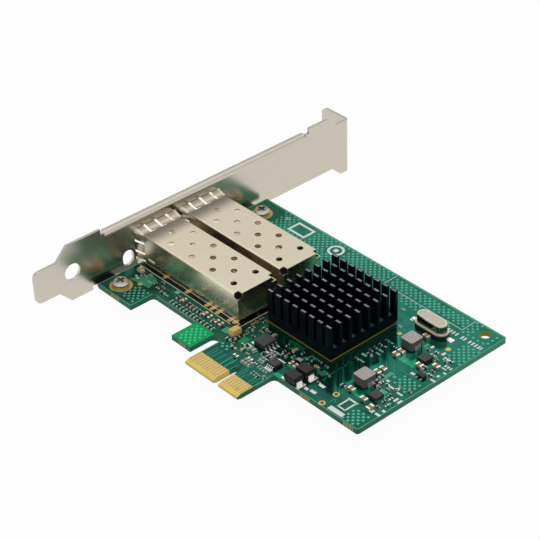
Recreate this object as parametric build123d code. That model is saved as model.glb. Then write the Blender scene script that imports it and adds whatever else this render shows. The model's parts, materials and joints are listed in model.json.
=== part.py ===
from build123d import *
import os

# Network interface card with two ports for plug-in fibre modules.
# Millimetres. X runs along the board away from the bracket, Y from the edge connector
# towards the bracket's tab, Z up out of the component side.
# The origin is the middle of the edge connector's key, on the insertion edge,
# at the underside of the board.
# Places named edge_x are measured along the board from its bracket edge. The parts round
# the controller are placed from its middle, and those beyond it from the far top corner.

# Circuit board
board_thickness = 1.57
board_length = 97.2
board_height = 68.9
key_to_board_edge = 57.15
left_block_width = 14.9
left_block_y = 4.75
recess_y = 12.95
recess_radius = 1.3
far_edge_y = 13.0
far_edge_radius = 1.5
board_corner_radius = 0.8

# Edge connector: two tongues of contacts beside the key
key_width = 1.9
key_depth = 8.0
long_tongue_width = 11.65
short_tongue_width = 7.65
bevel_length = 1.3
bevel_height = 0.38
contact_pitch = 1.0
contact_width = 0.7
contact_low_y = 1.3
contact_high_y = 5.4
contact_thickness = 0.04
short_contact_loss = 1.2
long_side_contacts = 11
short_side_contacts = 7
key_to_first_contact = 1.5

# Retention hook beside the long tongue
hook_width = 7.8
hook_y = 4.45
hook_slot_width = 3.35
hook_slot_top_y = 12.9

# Hole near the far corner of the board
corner_hole_diameter = 3.2
corner_hole_inset_x = 4.9
corner_hole_inset_y = 3.25

# Bracket: one folded sheet
sheet = 0.9
bend_radius = 0.4
bend_leg = 2.7
bracket_gap = 1.8
bracket_length = 120.02
bracket_width = 18.42
bracket_low_z = -1.15
tongue_end_y = -14.97
tongue_width = 10.4
tongue_neck_y = -7.1
shoulder_y = -3.2
tongue_corner_radius = 2.0
tab_offset = 3.3
offset_high_from_end = 8.85
offset_low_from_end = 7.25
offset_run = 3.5
tab_depth = 11.43
tab_corner_radius = 2.2
tab_notch_width = 4.42
tab_notch_depth = 7.3
tab_notch_middle = 6.2
tongue_hole_diameter = 5.3
tongue_hole_y = -2.07
light_hole_width = 3.9
light_hole_height = 5.0
light_hole_y = 17.3
light_hole_z = 3.65
lip_depth = 2.2
lip_z = 15.55
lip_start_y = 9.8
lip_end_from_end = 18.05
lip_relief = 1.3

# Ears of the bracket under the board, and the screws that hold them
ear_width = 6.5
ear_reach = 9.4
ear_corner_radius = 1.6
ear_relief_width = 1.5
ear_relief_height = 1.3
screw_edge_x = 5.15
screw_low_y = 9.0
screw_high_inset = 6.7
screw_diameter = 2.95
screw_length = 3.6
screw_head_diameter = 5.0
screw_head_height = 1.9
screw_head_chamfer = 0.7
screw_recess_width = 0.75
screw_recess_length = 2.9
screw_recess_depth = 1.0
screw_clearance = 0.45
thread_clearance = 0.1

# Cages for the plug-in modules
cage_width = 14.0
cage_height = 9.66
cage_rear_edge_x = 42.45
cage_length = 47.6
cage_wall = 0.25
cage_first_y = 27.9
cage_gap = 2.68
spring_root_edge_x = 1.5
spring_rise = 0.75
spring_corner_gap = 0.5
spring_slot_width = 0.85
spring_foot_length = 1.3
spring_foot_width = 0.45
fold_radius = 0.4
top_slot_pitch = 4.0
side_slot_heights = (3.1, 6.6)
side_spring_low = 1.0
side_spring_high = 9.1
spring_rim = 0.9
window_clearance = 0.06
vent_diameter = 1.95
vent_sides = 16
vent_pitch = 8.95
vent_row_offset = 3.95
vent_first_edge_x = 6.0
vents_per_row = 4
rear_notch = 1.6
rear_wall_lift = 1.2
cage_pin_width = 0.7
cage_pin_drop = 1.35
cage_pin_edge_x = (10.8, 20.8, 40.2)
cage_pin_hole_diameter = 1.1
cage_pin_hole_sides = 8
side_slit_length = 3.0
side_slit_height = 0.5
side_slit_edge_x = (4.3, 25.6)
side_slit_lift = 1.9
side_tab_reach = 0.35
floor_side_gap = 0.05
latch_width = 3.0
latch_length = 9.0
latch_slit = 0.5
latch_window_length = 2.4
latch_window_width = 1.6
latch_start = 1.6

# Host connector in the back of each cage
host_width = 11.6
host_depth = 8.8
host_height = 5.9
host_back_gap = 1.6
host_slot_width = 10.1
host_slot_height = 1.4
host_slot_lift = 2.9
host_slot_depth = 6.2
host_nose_chamfer = 0.8
host_contact_pitch = 0.8
host_contact_width = 0.36
host_contact_thickness = 0.18
host_contacts_per_row = 10
host_contact_length = 5.0
host_foot_length = 1.1

# Controller package and its heat sink, at a share of the board beyond the cages
controller_share = 0.319
controller_y = 39.6
package_side = 25.0
package_lift = 0.25
substrate_thickness = 0.56
mould_cap_side = 19.0
mould_cap_height = 0.4
mould_cap_chamfer = 0.3
thermal_pad_side = 17.0
thermal_pad_thickness = 0.12
sink_base_height = 2.6
sink_top_z = 12.7
fins_per_side = 8
fin_length = 2.1
fin_thickness = 0.95

# Crystal in its pressed can
crystal_place = (16.6, 11.8)
crystal_can_length = 10.2
crystal_can_width = 3.8
crystal_can_height = 2.5
crystal_can_chamfer = 0.3
crystal_flange_length = 11.2
crystal_flange_width = 4.7
crystal_flange_height = 0.4
crystal_base_height = 0.75
crystal_lead_width = 1.0
crystal_lead_thickness = 0.25
crystal_lead_reach = 7.3
crystal_lead_start = 3.9

# Moulded power inductors
inductor_places = ((12.7, 41.0), (15.2, 21.0))
inductor_length = 4.3
inductor_width = 4.5
inductor_height = 3.0
inductor_chamfer = 0.4
inductor_terminal_width = 2.2
inductor_terminal_thickness = 0.2
inductor_terminal_rise = 1.4

# Leadless regulators
regulator_places = ((6.4, 43.1), (8.6, 22.8))
regulator_side = 3.0
regulator_height = 0.85
regulator_pad_length = 0.35
regulator_pad_width = 0.28
regulator_pad_pitch = 0.65
regulator_pads_per_side = 4
regulator_pad_thickness = 0.12

# Leaded small chips: place from the controller and Y, then sizes across the leads, along the row, and in height
flash_place = (-5.6, 20.1)
flash_across = 3.9
flash_along = 4.9
flash_height = 1.5
flash_lead_pitch = 1.27
flash_lead_width = 0.42
flash_lead_reach = 1.0
supervisor_place = (2.9, 15.9)
supervisor_across = 3.0
supervisor_along = 3.0
supervisor_height = 0.95
supervisor_lead_pitch = 0.65
supervisor_lead_width = 0.3
supervisor_lead_reach = 0.9
leads_per_side = 4
chip_standoff = 0.12
chip_draft = 0.14
lead_thickness = 0.16

# Power diodes with folded end tabs
diode_places = ((11.3, 14.9), (11.4, 19.0))
diode_length = 4.2
diode_width = 3.4
diode_height = 2.2
diode_draft = 0.2
diode_tab_width = 2.0
diode_tab_thickness = 0.2
diode_tab_reach = 0.5
diode_tab_rise = 1.1

# Moulded tantalum capacitor beside the cage
tantalum_place = (45.2, 17.1)
tantalum_length = 3.2
tantalum_width = 2.1
tantalum_height = 1.9
tantalum_draft = 0.12
tantalum_tab_width = 1.3
tantalum_tab_thickness = 0.15
tantalum_tab_reach = 0.8
tantalum_tab_rise = 0.85

# Port light at the bracket edge
light_place = (3.6, 17.4)
light_length = 2.0
light_width = 1.3
light_height = 0.8
light_lens_height = 0.75

# Chip capacitors and resistors: where they stand, and whether the length runs along Y.
# Near ones by edge_x and Y, middle ones by the controller and Y, far ones by the far corner.
chip_end_share = 0.22
chip_end_proud = 0.03
large_chip_size = (2.0, 1.25, 0.9)
far_large_chips = (
    (15.0, 15.6, False),
    (14.9, 25.2, False),
    (15.0, 27.1, False),
    (7.4, 26.0, False),
    (4.0, 23.2, False),
    (12.9, 34.0, False),
    (13.0, 36.0, False),
    (12.6, 45.8, False),
    (7.4, 46.4, False),
    (3.9, 47.7, True),
)
medium_chip_size = (1.6, 0.8, 0.7)
near_medium_chips = (
    (23.8, 17.0, True),
    (32.8, 17.0, True),
    (34.8, 17.0, True),
    (37.8, 17.0, True),
    (39.5, 17.0, True),
)
middle_medium_chips = (
    (11.7, 22.9, False),
    (5.7, 19.2, True),
    (7.3, 19.2, True),
    (-6.9, 10.7, False),
    (-3.1, 12.5, False),
)
resistor_size = (1.0, 0.5, 0.35)
near_resistors = (
    (11.6, 16.4, True),
    (13.8, 15.4, False),
    (6.9, 16.6, False),
)
middle_resistors = (
    (-8.9, 24.4, False),
    (-6.9, 24.4, False),
    (-9.5, 15.6, False),
    (0.4, 21.4, True),
    (2.1, 21.4, True),
    (-0.9, 12.4, False),
    (8.9, 22.0, True),
    (16.6, 19.0, False),
)
far_resistors = (
    (9.3, 38.0, True),
    (7.6, 37.5, False),
    (4.4, 37.3, False),
    (2.8, 41.1, True),
    (1.6, 43.9, True),
    (8.3, 18.5, False),
    (4.9, 19.1, True),
    (2.9, 18.6, False),
    (2.9, 26.7, False),
    (17.6, 24.9, False),
    (16.6, 38.3, False),
)

# Figures that follow from the sizes above
board_left = -key_to_board_edge
board_right = board_left + board_length
board_top = board_thickness
bracket_face = board_left - bracket_gap
bracket_back = bracket_face - sheet
bracket_high_z = bracket_low_z + bracket_width
bracket_end_y = tongue_end_y + bracket_length
bracket_middle_z = bracket_low_z + bracket_width / 2
offset_high_y = bracket_end_y - offset_high_from_end
offset_low_y = bracket_end_y - offset_low_from_end
lip_end_y = bracket_end_y - lip_end_from_end
long_tongue_edge = -key_width / 2 - long_tongue_width
short_tongue_edge = key_width / 2 + short_tongue_width
hook_right = long_tongue_edge - hook_slot_width
hook_left = hook_right - hook_width
screw_x = board_left + screw_edge_x
screw_places_y = (screw_low_y, board_height - screw_high_inset)
cage_pitch = cage_width + cage_gap
cage_rear = board_left + cage_rear_edge_x
cage_front = cage_rear - cage_length
cage_top = board_top + cage_height
cage_rows = (cage_first_y, cage_first_y + cage_pitch)
spring_root = board_left + spring_root_edge_x
spring_crest = (bracket_face + bracket_back) / 2
slot_start = cage_front + spring_rim
slot_middle = (slot_start + spring_root) / 2
slot_length = spring_root - slot_start
host_back = cage_rear - host_back_gap
host_front = host_back - host_depth
controller_x = cage_rear + controller_share * (board_right - cage_rear)
substrate_low = board_top + package_lift
mould_cap_low = substrate_low + substrate_thickness
thermal_pad_low = mould_cap_low + mould_cap_height
sink_low = thermal_pad_low + thermal_pad_thickness
crystal_x = board_right - crystal_place[0]
crystal_y = board_height - crystal_place[1]
light_x = board_left + light_place[0]


def block(low_x, high_x, low_y, high_y, low_z, high_z):
    """A box between two corners."""
    middle = ((low_x + high_x) / 2, (low_y + high_y) / 2, (low_z + high_z) / 2)
    return Pos(*middle) * Box(high_x - low_x, high_y - low_y, high_z - low_z)


def slab(x, y, length, width, low_z, high_z):
    """A box about a place on the board."""
    return block(x - length / 2, x + length / 2, y - width / 2, y + width / 2, low_z, high_z)


def post(x, y, low_z, high_z, diameter):
    """An upright round bar or hole."""
    return Pos(x, y, (low_z + high_z) / 2) * Cylinder(diameter / 2, high_z - low_z)


def hole(x, y, low_z, high_z, diameter, sides):
    """A small hole that repeats, with a few flats in place of a round wall."""
    return Pos(x, y, low_z) * extrude(RegularPolygon(diameter / 2, sides), high_z - low_z)


def group(solids):
    """Separate solids that share one file."""
    return Compound(children=list(solids))


def nearest_corner(sketch, x, y):
    """The corner of a flat outline that lies nearest to a place."""
    return sketch.vertices().sort_by_distance(Vector(x, y, 0))[0]


def open_recess(low_x, high_x, depth, radius):
    """A cut into the board from its lower edge, with round inner corners."""
    cut = block(low_x, high_x, -depth, depth, 0, board_thickness)
    return fillet(cut.edges().filter_by(Axis.Z).group_by(Axis.Y)[-1], radius)


def far_recess():
    """The cut beyond the short tongue, which runs out at the board's far edge."""
    cut = block(short_tongue_edge, board_right, -far_edge_y, far_edge_y, 0, board_thickness)
    inner = cut.edges().filter_by(Axis.Z).group_by(Axis.Y)[-1].sort_by(Axis.X)[0]
    return fillet(inner, far_edge_radius)


def bevel_cut(face_z, inner_z):
    """The sloping face that leads one side of the tongues into the socket."""
    outline = make_face(Polyline((0, face_z), (bevel_length, face_z), (0, inner_z), close=True))
    width = short_tongue_edge - long_tongue_edge
    return Pos(long_tongue_edge, 0, 0) * extrude(Plane.YZ * outline, width, dir=(1, 0, 0))


def cage_pin_places():
    """Where the press-fit pins of the cages pass through the board."""
    side_y = (cage_width - cage_wall) / 2
    columns = [board_left + edge_x for edge_x in cage_pin_edge_x]
    return [(x, row + side * side_y) for row in cage_rows for side in (-1, 1) for x in columns]


def from_far_corner(places):
    """Places on the board, from insets along its far edge and its top edge."""
    return [(board_right - far_x, board_height - inset_y, *rest) for far_x, inset_y, *rest in places]


def make_board():
    block_right = board_left + left_block_width
    nearly_round = 0.49
    board = block(board_left, board_right, 0, board_height, 0, board_thickness)
    board -= block(board_left, block_right, 0, left_block_y, 0, board_thickness)
    board -= open_recess(block_right, hook_left, recess_y, recess_radius)
    board -= block(hook_left, hook_right, 0, hook_y, 0, board_thickness)
    slot_round = nearly_round * hook_slot_width
    board -= open_recess(hook_right, long_tongue_edge, hook_slot_top_y, slot_round)
    board -= open_recess(-key_width / 2, key_width / 2, key_depth, nearly_round * key_width)
    board -= far_recess()
    board = fillet(board.edges().filter_by(Axis.Z).group_by(Axis.X)[-1], board_corner_radius)
    board -= bevel_cut(0, bevel_height)
    board -= bevel_cut(board_thickness, board_thickness - bevel_height)
    hole_x, hole_y = board_right - corner_hole_inset_x, board_height - corner_hole_inset_y
    board -= post(hole_x, hole_y, 0, board_thickness, corner_hole_diameter)
    for y in screw_places_y:
        board -= post(screw_x, y, 0, board_thickness, screw_diameter + screw_clearance)
    for x, y in cage_pin_places():
        board -= hole(x, y, 0, board_thickness, cage_pin_hole_diameter, cage_pin_hole_sides)
    return board


def make_edge_contacts():
    """Gold fingers on both faces; on each face one stops short of the insertion edge."""
    long_side = [-key_to_first_contact - contact_pitch * n for n in range(long_side_contacts)]
    short_side = [key_to_first_contact + contact_pitch * n for n in range(short_side_contacts)]
    faces = ((board_top, short_side[-2]), (-contact_thickness, long_side[-1]))
    half = contact_width / 2
    pads = []
    for x in long_side + short_side:
        for low_z, short_x in faces:
            low_y = contact_low_y + (short_contact_loss if x == short_x else 0)
            high_z = low_z + contact_thickness
            pads.append(block(x - half, x + half, low_y, contact_high_y, low_z, high_z))
    return group(pads)


def angle_section(long_leg, short_leg):
    """A right-angle fold seen end on, its outer corner at zero, legs along -X and -Y."""
    corners = (
        (0, 0),
        (-long_leg, 0),
        (-long_leg, -sheet),
        (-sheet, -sheet),
        (-sheet, -short_leg),
        (0, -short_leg),
    )
    section = make_face(Polyline(*corners, close=True))
    section = fillet(nearest_corner(section, 0, 0), sheet + bend_radius)
    return fillet(nearest_corner(section, -sheet, -sheet), bend_radius)


def bracket_plate():
    """The flat of the bracket as it is cut before it is folded."""
    low, high = bracket_low_z, bracket_high_z
    tongue_low, tongue_high = bracket_middle_z - tongue_width / 2, bracket_middle_z + tongue_width / 2
    corners = (
        (tongue_end_y, tongue_low),
        (tongue_neck_y, tongue_low),
        (shoulder_y, low),
        (offset_low_y, low),
        (offset_low_y + offset_run, low - tab_offset),
        (bracket_end_y - bend_leg, low - tab_offset),
        (bracket_end_y - bend_leg, high - tab_offset),
        (offset_high_y + offset_run, high - tab_offset),
        (offset_high_y, high),
        (shoulder_y, high),
        (tongue_neck_y, tongue_high),
        (tongue_end_y, tongue_high),
    )
    outline = make_face(Polyline(*corners, close=True))
    outline = fillet(outline.vertices().group_by(Axis.X)[0], tongue_corner_radius)
    return Pos(bracket_face, 0, 0) * extrude(Plane.YZ * outline, sheet, dir=(-1, 0, 0))


def window_cut(row):
    """The opening for one cage, just clear of its sprung fingers."""
    reach = cage_width / 2 + spring_rise + window_clearance
    low_z = board_top - window_clearance
    high_z = cage_top + spring_rise + window_clearance
    return block(bracket_back, bracket_face, row - reach, row + reach, low_z, high_z)


def plate_holes():
    """The round hole in the tongue and the upright oblong hole of the port light."""
    circle = Pos(tongue_hole_y, bracket_middle_z) * Circle(tongue_hole_diameter / 2)
    oblong_hole = SlotOverall(light_hole_height, light_hole_width, rotation=90)
    slot = Pos(light_hole_y, light_hole_z) * oblong_hole
    flat = [Plane.YZ * circle, Plane.YZ * slot]
    return [Pos(bracket_face, 0, 0) * extrude(outline, sheet, dir=(-1, 0, 0)) for outline in flat]


def bracket_lip():
    """The long edge of the plate, folded outwards, its free corners rounded."""
    section = Plane.XZ * angle_section(lip_depth, bend_leg)
    lip = extrude(section, lip_end_y - lip_start_y, dir=(0, 1, 0))
    lip = Pos(bracket_face, lip_start_y, lip_z) * lip
    return fillet(lip.edges().filter_by(Axis.Z).group_by(Axis.X)[0], lip_depth / 3)


def bracket_ear(y):
    """One ear, folded inwards under the board, with the screw's threaded hole."""
    reach = sheet + bracket_gap + ear_reach
    section = Plane.XZ * (Rot(0, 0, 180) * angle_section(reach, bend_leg))
    ear = extrude(section, ear_width, dir=(0, 1, 0))
    ear = Pos(bracket_back, y - ear_width / 2, -sheet) * ear
    ear = fillet(ear.edges().filter_by(Axis.Z).group_by(Axis.X)[-1], ear_corner_radius)
    return ear - post(screw_x, y, -sheet, 0, screw_diameter + thread_clearance)


def ear_cuts(y):
    """What the plate loses at one ear: the fold itself and a relief slot on each side."""
    half = ear_width / 2
    relief = half + ear_relief_width
    relief_top = bracket_low_z + ear_relief_height
    slots = block(bracket_back, bracket_face, y - relief, y + relief, bracket_low_z, relief_top)
    fold = block(bracket_back, bracket_face, y - half, y + half, bracket_low_z, bend_leg - sheet)
    return slots + fold


def bracket_tab():
    """The tab that the chassis screw holds, with its open notch."""
    low, high = bracket_low_z - tab_offset, bracket_high_z - tab_offset
    tab = extrude(angle_section(tab_depth, bend_leg), high - low)
    tab = Pos(bracket_face, bracket_end_y, low) * tab
    tab = fillet(tab.edges().filter_by(Axis.Y).group_by(Axis.X)[0], tab_corner_radius)
    half = tab_notch_width / 2
    notch_x = bracket_face - tab_notch_middle
    notch_end = low + tab_notch_depth - half
    inner_y = bracket_end_y - sheet
    notch = block(notch_x - half, notch_x + half, inner_y, bracket_end_y, low, notch_end)
    notch += Pos(notch_x, bracket_end_y - sheet / 2, notch_end) * Rot(90, 0, 0) * Cylinder(half, sheet)
    return tab - notch


def make_bracket():
    plate = bracket_plate()
    for row in cage_rows:
        plate -= window_cut(row)
    for opening in plate_holes():
        plate -= opening
    reliefs = (lip_start_y - lip_relief, lip_end_y + lip_relief)
    plate -= block(bracket_back, bracket_face, *reliefs, lip_z, bracket_high_z)
    plate -= block(bracket_back, bracket_face, lip_start_y, lip_end_y, lip_z - bend_leg, lip_z)
    plate += bracket_lip()
    for y in screw_places_y:
        plate -= ear_cuts(y)
        plate += bracket_ear(y)
    return plate + bracket_tab()


def make_screw(y):
    """A pan-head machine screw with a cross recess."""
    top = board_top + screw_head_height
    head = post(screw_x, y, board_top, top, screw_head_diameter)
    head = chamfer(head.edges().filter_by(GeomType.CIRCLE).sort_by(Axis.Z)[-1], screw_head_chamfer)
    recess_low = top - screw_recess_depth
    head -= slab(screw_x, y, screw_recess_length, screw_recess_width, recess_low, top)
    head -= slab(screw_x, y, screw_recess_width, screw_recess_length, recess_low, top)
    return head + post(screw_x, y, board_top - screw_length, board_top, screw_diameter)


def wall_profile():
    """A sprung wall seen side on: X along the cage, second axis outward."""
    corners = (
        (cage_rear, 0),
        (spring_root, 0),
        (spring_crest, spring_rise),
        (slot_start, 0),
        (cage_front, 0),
        (cage_front, -cage_wall),
        (slot_start, -cage_wall),
        (spring_crest, spring_rise - cage_wall),
        (spring_root, -cage_wall),
        (cage_rear, -cage_wall),
    )
    return make_face(Polyline(*corners, close=True))


def top_wall(row):
    """The cage's top: flat sheet with sprung fingers at the mouth and staggered vents."""
    half = cage_width / 2
    wall = extrude(Plane.XZ * wall_profile(), cage_width, dir=(0, 1, 0))
    wall = Pos(0, row - half, cage_top) * wall
    low, high = cage_top - cage_wall, cage_top + spring_rise
    foot_x = spring_root - spring_foot_width / 2
    for offset in (-top_slot_pitch, 0, top_slot_pitch):
        y = row + offset
        wall -= slab(slot_middle, y, slot_length, spring_slot_width, low, high)
        foot_y = y + (spring_slot_width + spring_foot_length) / 2
        wall -= slab(foot_x, foot_y, spring_foot_width, spring_foot_length, low, high)
    for side in (-1, 1):
        edge = row + side * (half - spring_corner_gap / 2)
        wall -= slab(slot_middle, edge, slot_length, spring_corner_gap, low, high)
    for number in range(vents_per_row):
        x = board_left + vent_first_edge_x + number * vent_pitch
        wall -= hole(x, row, low, high, vent_diameter, vent_sides)
        for side in (-1, 1):
            y = row + side * vent_row_offset
            wall -= hole(x + vent_pitch / 2, y, low, high, vent_diameter, vent_sides)
    return wall


def side_tab(edge_x, outer, side):
    """A slit through the side of a cage, and the tab bent out below it."""
    low_x = board_left + edge_x - side_slit_length / 2
    high_x = low_x + side_slit_length
    low_z = board_top + side_slit_lift
    inner, tip = outer - side * cage_wall, outer + side * side_tab_reach
    slit = block(low_x, high_x, *sorted((outer, inner)), low_z, low_z + side_slit_height)
    tab = block(low_x, high_x, *sorted((tip, inner)), low_z - cage_wall, low_z)
    return slit, tab


def side_wall(row, side):
    """One side of a cage: sprung fingers between two heights, and two lanced tabs."""
    outer = row + side * cage_width / 2
    low, high = board_top + side_spring_low, board_top + side_spring_high
    sprung = extrude(wall_profile(), high - low)
    sprung = sprung if side > 0 else mirror(sprung, about=Plane.XZ)
    wall = Pos(0, outer, low) * sprung
    near, far = sorted((outer, outer - side * cage_wall))
    wall += block(spring_root, cage_rear, near, far, board_top, cage_top)
    wall += block(cage_front, slot_start, near, far, board_top, cage_top)
    swing = spring_rise + cage_wall
    half = spring_slot_width / 2
    for height in side_slot_heights:
        z = board_top + height
        wall -= block(slot_start, spring_root, outer - swing, outer + swing, z - half, z + half)
    for edge_x in side_slit_edge_x:
        slit, tab = side_tab(edge_x, outer, side)
        wall = wall - slit + tab
    return wall


def make_cage_shell(row):
    """Top, sides, folded rear wall and pins of one cage, cut from a single sheet."""
    half = cage_width / 2
    shell = top_wall(row)
    for side in (-1, 1):
        shell += side_wall(row, side)
        y = row + side * (cage_width - cage_wall) / 2
        for edge_x in cage_pin_edge_x:
            x = board_left + edge_x
            shell += slab(x, y, cage_pin_width, cage_wall, board_top - cage_pin_drop, board_top)
    rear_low = board_top + rear_wall_lift
    shell += block(cage_rear - cage_wall, cage_rear, row - half, row + half, rear_low, cage_top)
    notch_low = cage_top - rear_notch
    for side in (-1, 1):
        corner = row + side * (half - rear_notch / 2)
        shell -= slab(cage_rear - rear_notch / 2, corner, rear_notch, rear_notch, notch_low, cage_top)
    top_edges = shell.edges().filter_by(Axis.X).group_by(Axis.Z)[-1].group_by(Axis.Y)
    return fillet(top_edges[0] + top_edges[-1], fold_radius)


def make_cage_floor(row):
    """The floor sheet of one cage, with the tongue that latches the module."""
    half = cage_width / 2 - cage_wall - floor_side_gap
    end = host_front - floor_side_gap
    low, high = board_top, board_top + cage_wall
    floor = block(cage_front, end, row - half, row + half, low, high)
    slit_x = cage_front + latch_start
    arm = latch_width / 2 + latch_slit
    for side in (-1, 1):
        y = row + side * (arm - latch_slit / 2)
        floor -= slab(slit_x + latch_length / 2, y, latch_length, latch_slit, low, high)
    floor -= slab(slit_x - latch_slit / 2, row, latch_slit, 2 * arm, low, high)
    window_x = slit_x + latch_window_length
    floor -= slab(window_x, row, latch_window_length, latch_window_width, low, high)
    return floor


def make_host_connector(row):
    """The socket at the back of a cage that the module's edge plugs into."""
    low_y, high_y = row - host_width / 2, row + host_width / 2
    body = block(host_front, host_back, low_y, high_y, board_top, board_top + host_height)
    body = chamfer(body.edges().filter_by(Axis.Y).group_by(Axis.X)[0], host_nose_chamfer)
    slot_low = board_top + host_slot_lift
    slot_y = host_slot_width / 2
    slot_end = host_front + host_slot_depth
    body -= block(host_front, slot_end, row - slot_y, row + slot_y, slot_low, slot_low + host_slot_height)
    return body


def make_host_contacts(row):
    """The two rows of contacts in the socket, and their feet behind it."""
    low = board_top + host_slot_lift
    high = low + host_slot_height
    start = host_front + host_nose_chamfer
    end = start + host_contact_length
    thick = host_contact_thickness
    foot_end = host_back + host_foot_length
    contacts = []
    for number in range(host_contacts_per_row):
        middle = row + (number - (host_contacts_per_row - 1) / 2) * host_contact_pitch
        near, far = middle - host_contact_width / 2, middle + host_contact_width / 2
        contacts.append(block(start, end, near, far, low, low + thick))
        contacts.append(block(start, end, near, far, high - thick, high))
        contacts.append(block(host_back, foot_end, near, far, board_top, board_top + thick))
    return group(contacts)


def make_substrate():
    return slab(controller_x, controller_y, package_side, package_side, substrate_low, mould_cap_low)


def make_mould_cap():
    cap = slab(controller_x, controller_y, mould_cap_side, mould_cap_side, mould_cap_low, thermal_pad_low)
    return chamfer(cap.edges().group_by(Axis.Z)[-1], mould_cap_chamfer)


def make_thermal_pad():
    return slab(controller_x, controller_y, thermal_pad_side, thermal_pad_side, thermal_pad_low, sink_low)


def make_heat_sink():
    """A square base with rows of flat pins out to its very edges."""
    base_top = sink_low + sink_base_height
    sink = slab(controller_x, controller_y, package_side, package_side, sink_low, base_top)
    step_x = (package_side - fin_length) / (fins_per_side - 1)
    step_y = (package_side - fin_thickness) / (fins_per_side - 1)
    middle = (fins_per_side - 1) / 2
    pins = []
    for column in range(fins_per_side):
        x = controller_x + (column - middle) * step_x
        for line in range(fins_per_side):
            y = controller_y + (line - middle) * step_y
            pins.append(slab(x, y, fin_length, fin_thickness, base_top, sink_top_z))
    return sink + pins


def oblong(length, width, low_z, high_z):
    """An upright body with fully round ends, at the crystal's place."""
    return Pos(crystal_x, crystal_y, low_z) * extrude(SlotOverall(length, width), high_z - low_z)


def make_crystal_base():
    low = board_top + crystal_lead_thickness
    return oblong(crystal_flange_length, crystal_flange_width, low, low + crystal_base_height)


def make_crystal_can():
    """The pressed lid with its flange, welded round the base."""
    low = board_top + crystal_lead_thickness + crystal_base_height
    shoulder = low + crystal_flange_height
    flange = oblong(crystal_flange_length, crystal_flange_width, low, shoulder)
    can = oblong(crystal_can_length, crystal_can_width, shoulder, shoulder + crystal_can_height)
    return flange + chamfer(can.edges().group_by(Axis.Z)[-1], crystal_can_chamfer)


def make_crystal_leads():
    length = crystal_lead_reach - crystal_lead_start
    middle = crystal_lead_start + length / 2
    high = board_top + crystal_lead_thickness
    places = (crystal_x - middle, crystal_x + middle)
    return group(slab(x, crystal_y, length, crystal_lead_width, board_top, high) for x in places)


def make_inductors():
    """Pressed powder blocks with blunted upright corners."""
    low, high = board_top + inductor_terminal_thickness, board_top + inductor_height
    blocks = []
    for x, y in from_far_corner(inductor_places):
        body = slab(x, y, inductor_length, inductor_width, low, high)
        blocks.append(chamfer(body.edges().filter_by(Axis.Z), inductor_chamfer))
    return group(blocks)


def end_tab(x, y, side, reach_in, width, thickness, rise):
    """A terminal that lies under one end of a body and folds up its end face."""
    inner, outer = x - side * reach_in, x + side * thickness
    low_y, high_y = y - width / 2, y + width / 2
    foot = block(*sorted((inner, outer)), low_y, high_y, board_top, board_top + thickness)
    return foot + block(*sorted((x, outer)), low_y, high_y, board_top, board_top + rise)


def make_inductor_terminals():
    tabs = []
    for middle_x, y in from_far_corner(inductor_places):
        for side in (-1, 1):
            x = middle_x + side * inductor_length / 2
            size = (inductor_terminal_width, inductor_terminal_thickness, inductor_terminal_rise)
            tabs.append(end_tab(x, y, side, inductor_length / 4, *size))
    return group(tabs)


def make_regulators():
    low = board_top + regulator_pad_thickness
    high = low + regulator_height
    places = from_far_corner(regulator_places)
    return group(slab(x, y, regulator_side, regulator_side, low, high) for x, y in places)


def make_regulator_pads():
    """The solder pads along two edges of each regulator, and the big one in the middle."""
    high = board_top + regulator_pad_thickness
    middle = regulator_side - 4 * regulator_pad_length
    size = (regulator_pad_width, regulator_pad_length)
    pads = []
    for x, y in from_far_corner(regulator_places):
        pads.append(slab(x, y, middle, middle, board_top, high))
        for number in range(regulator_pads_per_side):
            shift = (number - (regulator_pads_per_side - 1) / 2) * regulator_pad_pitch
            for side in (-1, 1):
                edge = y + side * (regulator_side - regulator_pad_length) / 2
                pads.append(slab(x + shift, edge, *size, board_top, high))
    return group(pads)


def moulded_body(place, low_z, length, width, height, draft):
    """A moulded body with a parting line at half height, narrower above and below."""
    wide = Pos(0, 0, height / 2) * Rectangle(length, width)
    foot = Rectangle(length - 2 * draft, width - 2 * draft)
    head = Pos(0, 0, height) * foot
    body = loft([foot, wide]) + loft([wide, head])
    return Pos(*place, low_z) * body


def gull_lead(width, reach, rise):
    """One bent lead: it leaves the body at half height, drops, and lies on its pad."""
    drop = reach * 0.4
    corners = (
        (0, rise),
        (drop, rise),
        (drop + lead_thickness, lead_thickness),
        (reach, lead_thickness),
        (reach, 0),
        (drop, 0),
        (drop - lead_thickness, rise - lead_thickness),
        (0, rise - lead_thickness),
    )
    section = make_face(Polyline(*corners, close=True))
    return Pos(0, width / 2, 0) * extrude(Plane.XZ * section, width, dir=(0, -1, 0))


def lead_rows(place, across, height, pitch, width, reach, turn):
    """Both rows of leads of a small chip."""
    rise = chip_standoff + (height + lead_thickness) / 2
    leads = []
    for number in range(leads_per_side):
        shift = (number - (leads_per_side - 1) / 2) * pitch
        lead = Pos(across / 2, shift, 0) * gull_lead(width, reach, rise)
        for flip in (turn, turn + 180):
            leads.append(Pos(*place, board_top) * (Rot(0, 0, flip) * lead))
    return group(leads)


def make_flash_chip():
    low = board_top + chip_standoff
    place = (controller_x + flash_place[0], flash_place[1])
    return moulded_body(place, low, flash_across, flash_along, flash_height, chip_draft)


def make_flash_leads():
    size = (flash_across, flash_height, flash_lead_pitch, flash_lead_width, flash_lead_reach)
    return lead_rows((controller_x + flash_place[0], flash_place[1]), *size, 0)


def make_supervisor_chip():
    low = board_top + chip_standoff
    size = (supervisor_along, supervisor_across, supervisor_height)
    place = (controller_x + supervisor_place[0], supervisor_place[1])
    return moulded_body(place, low, *size, chip_draft)


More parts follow.
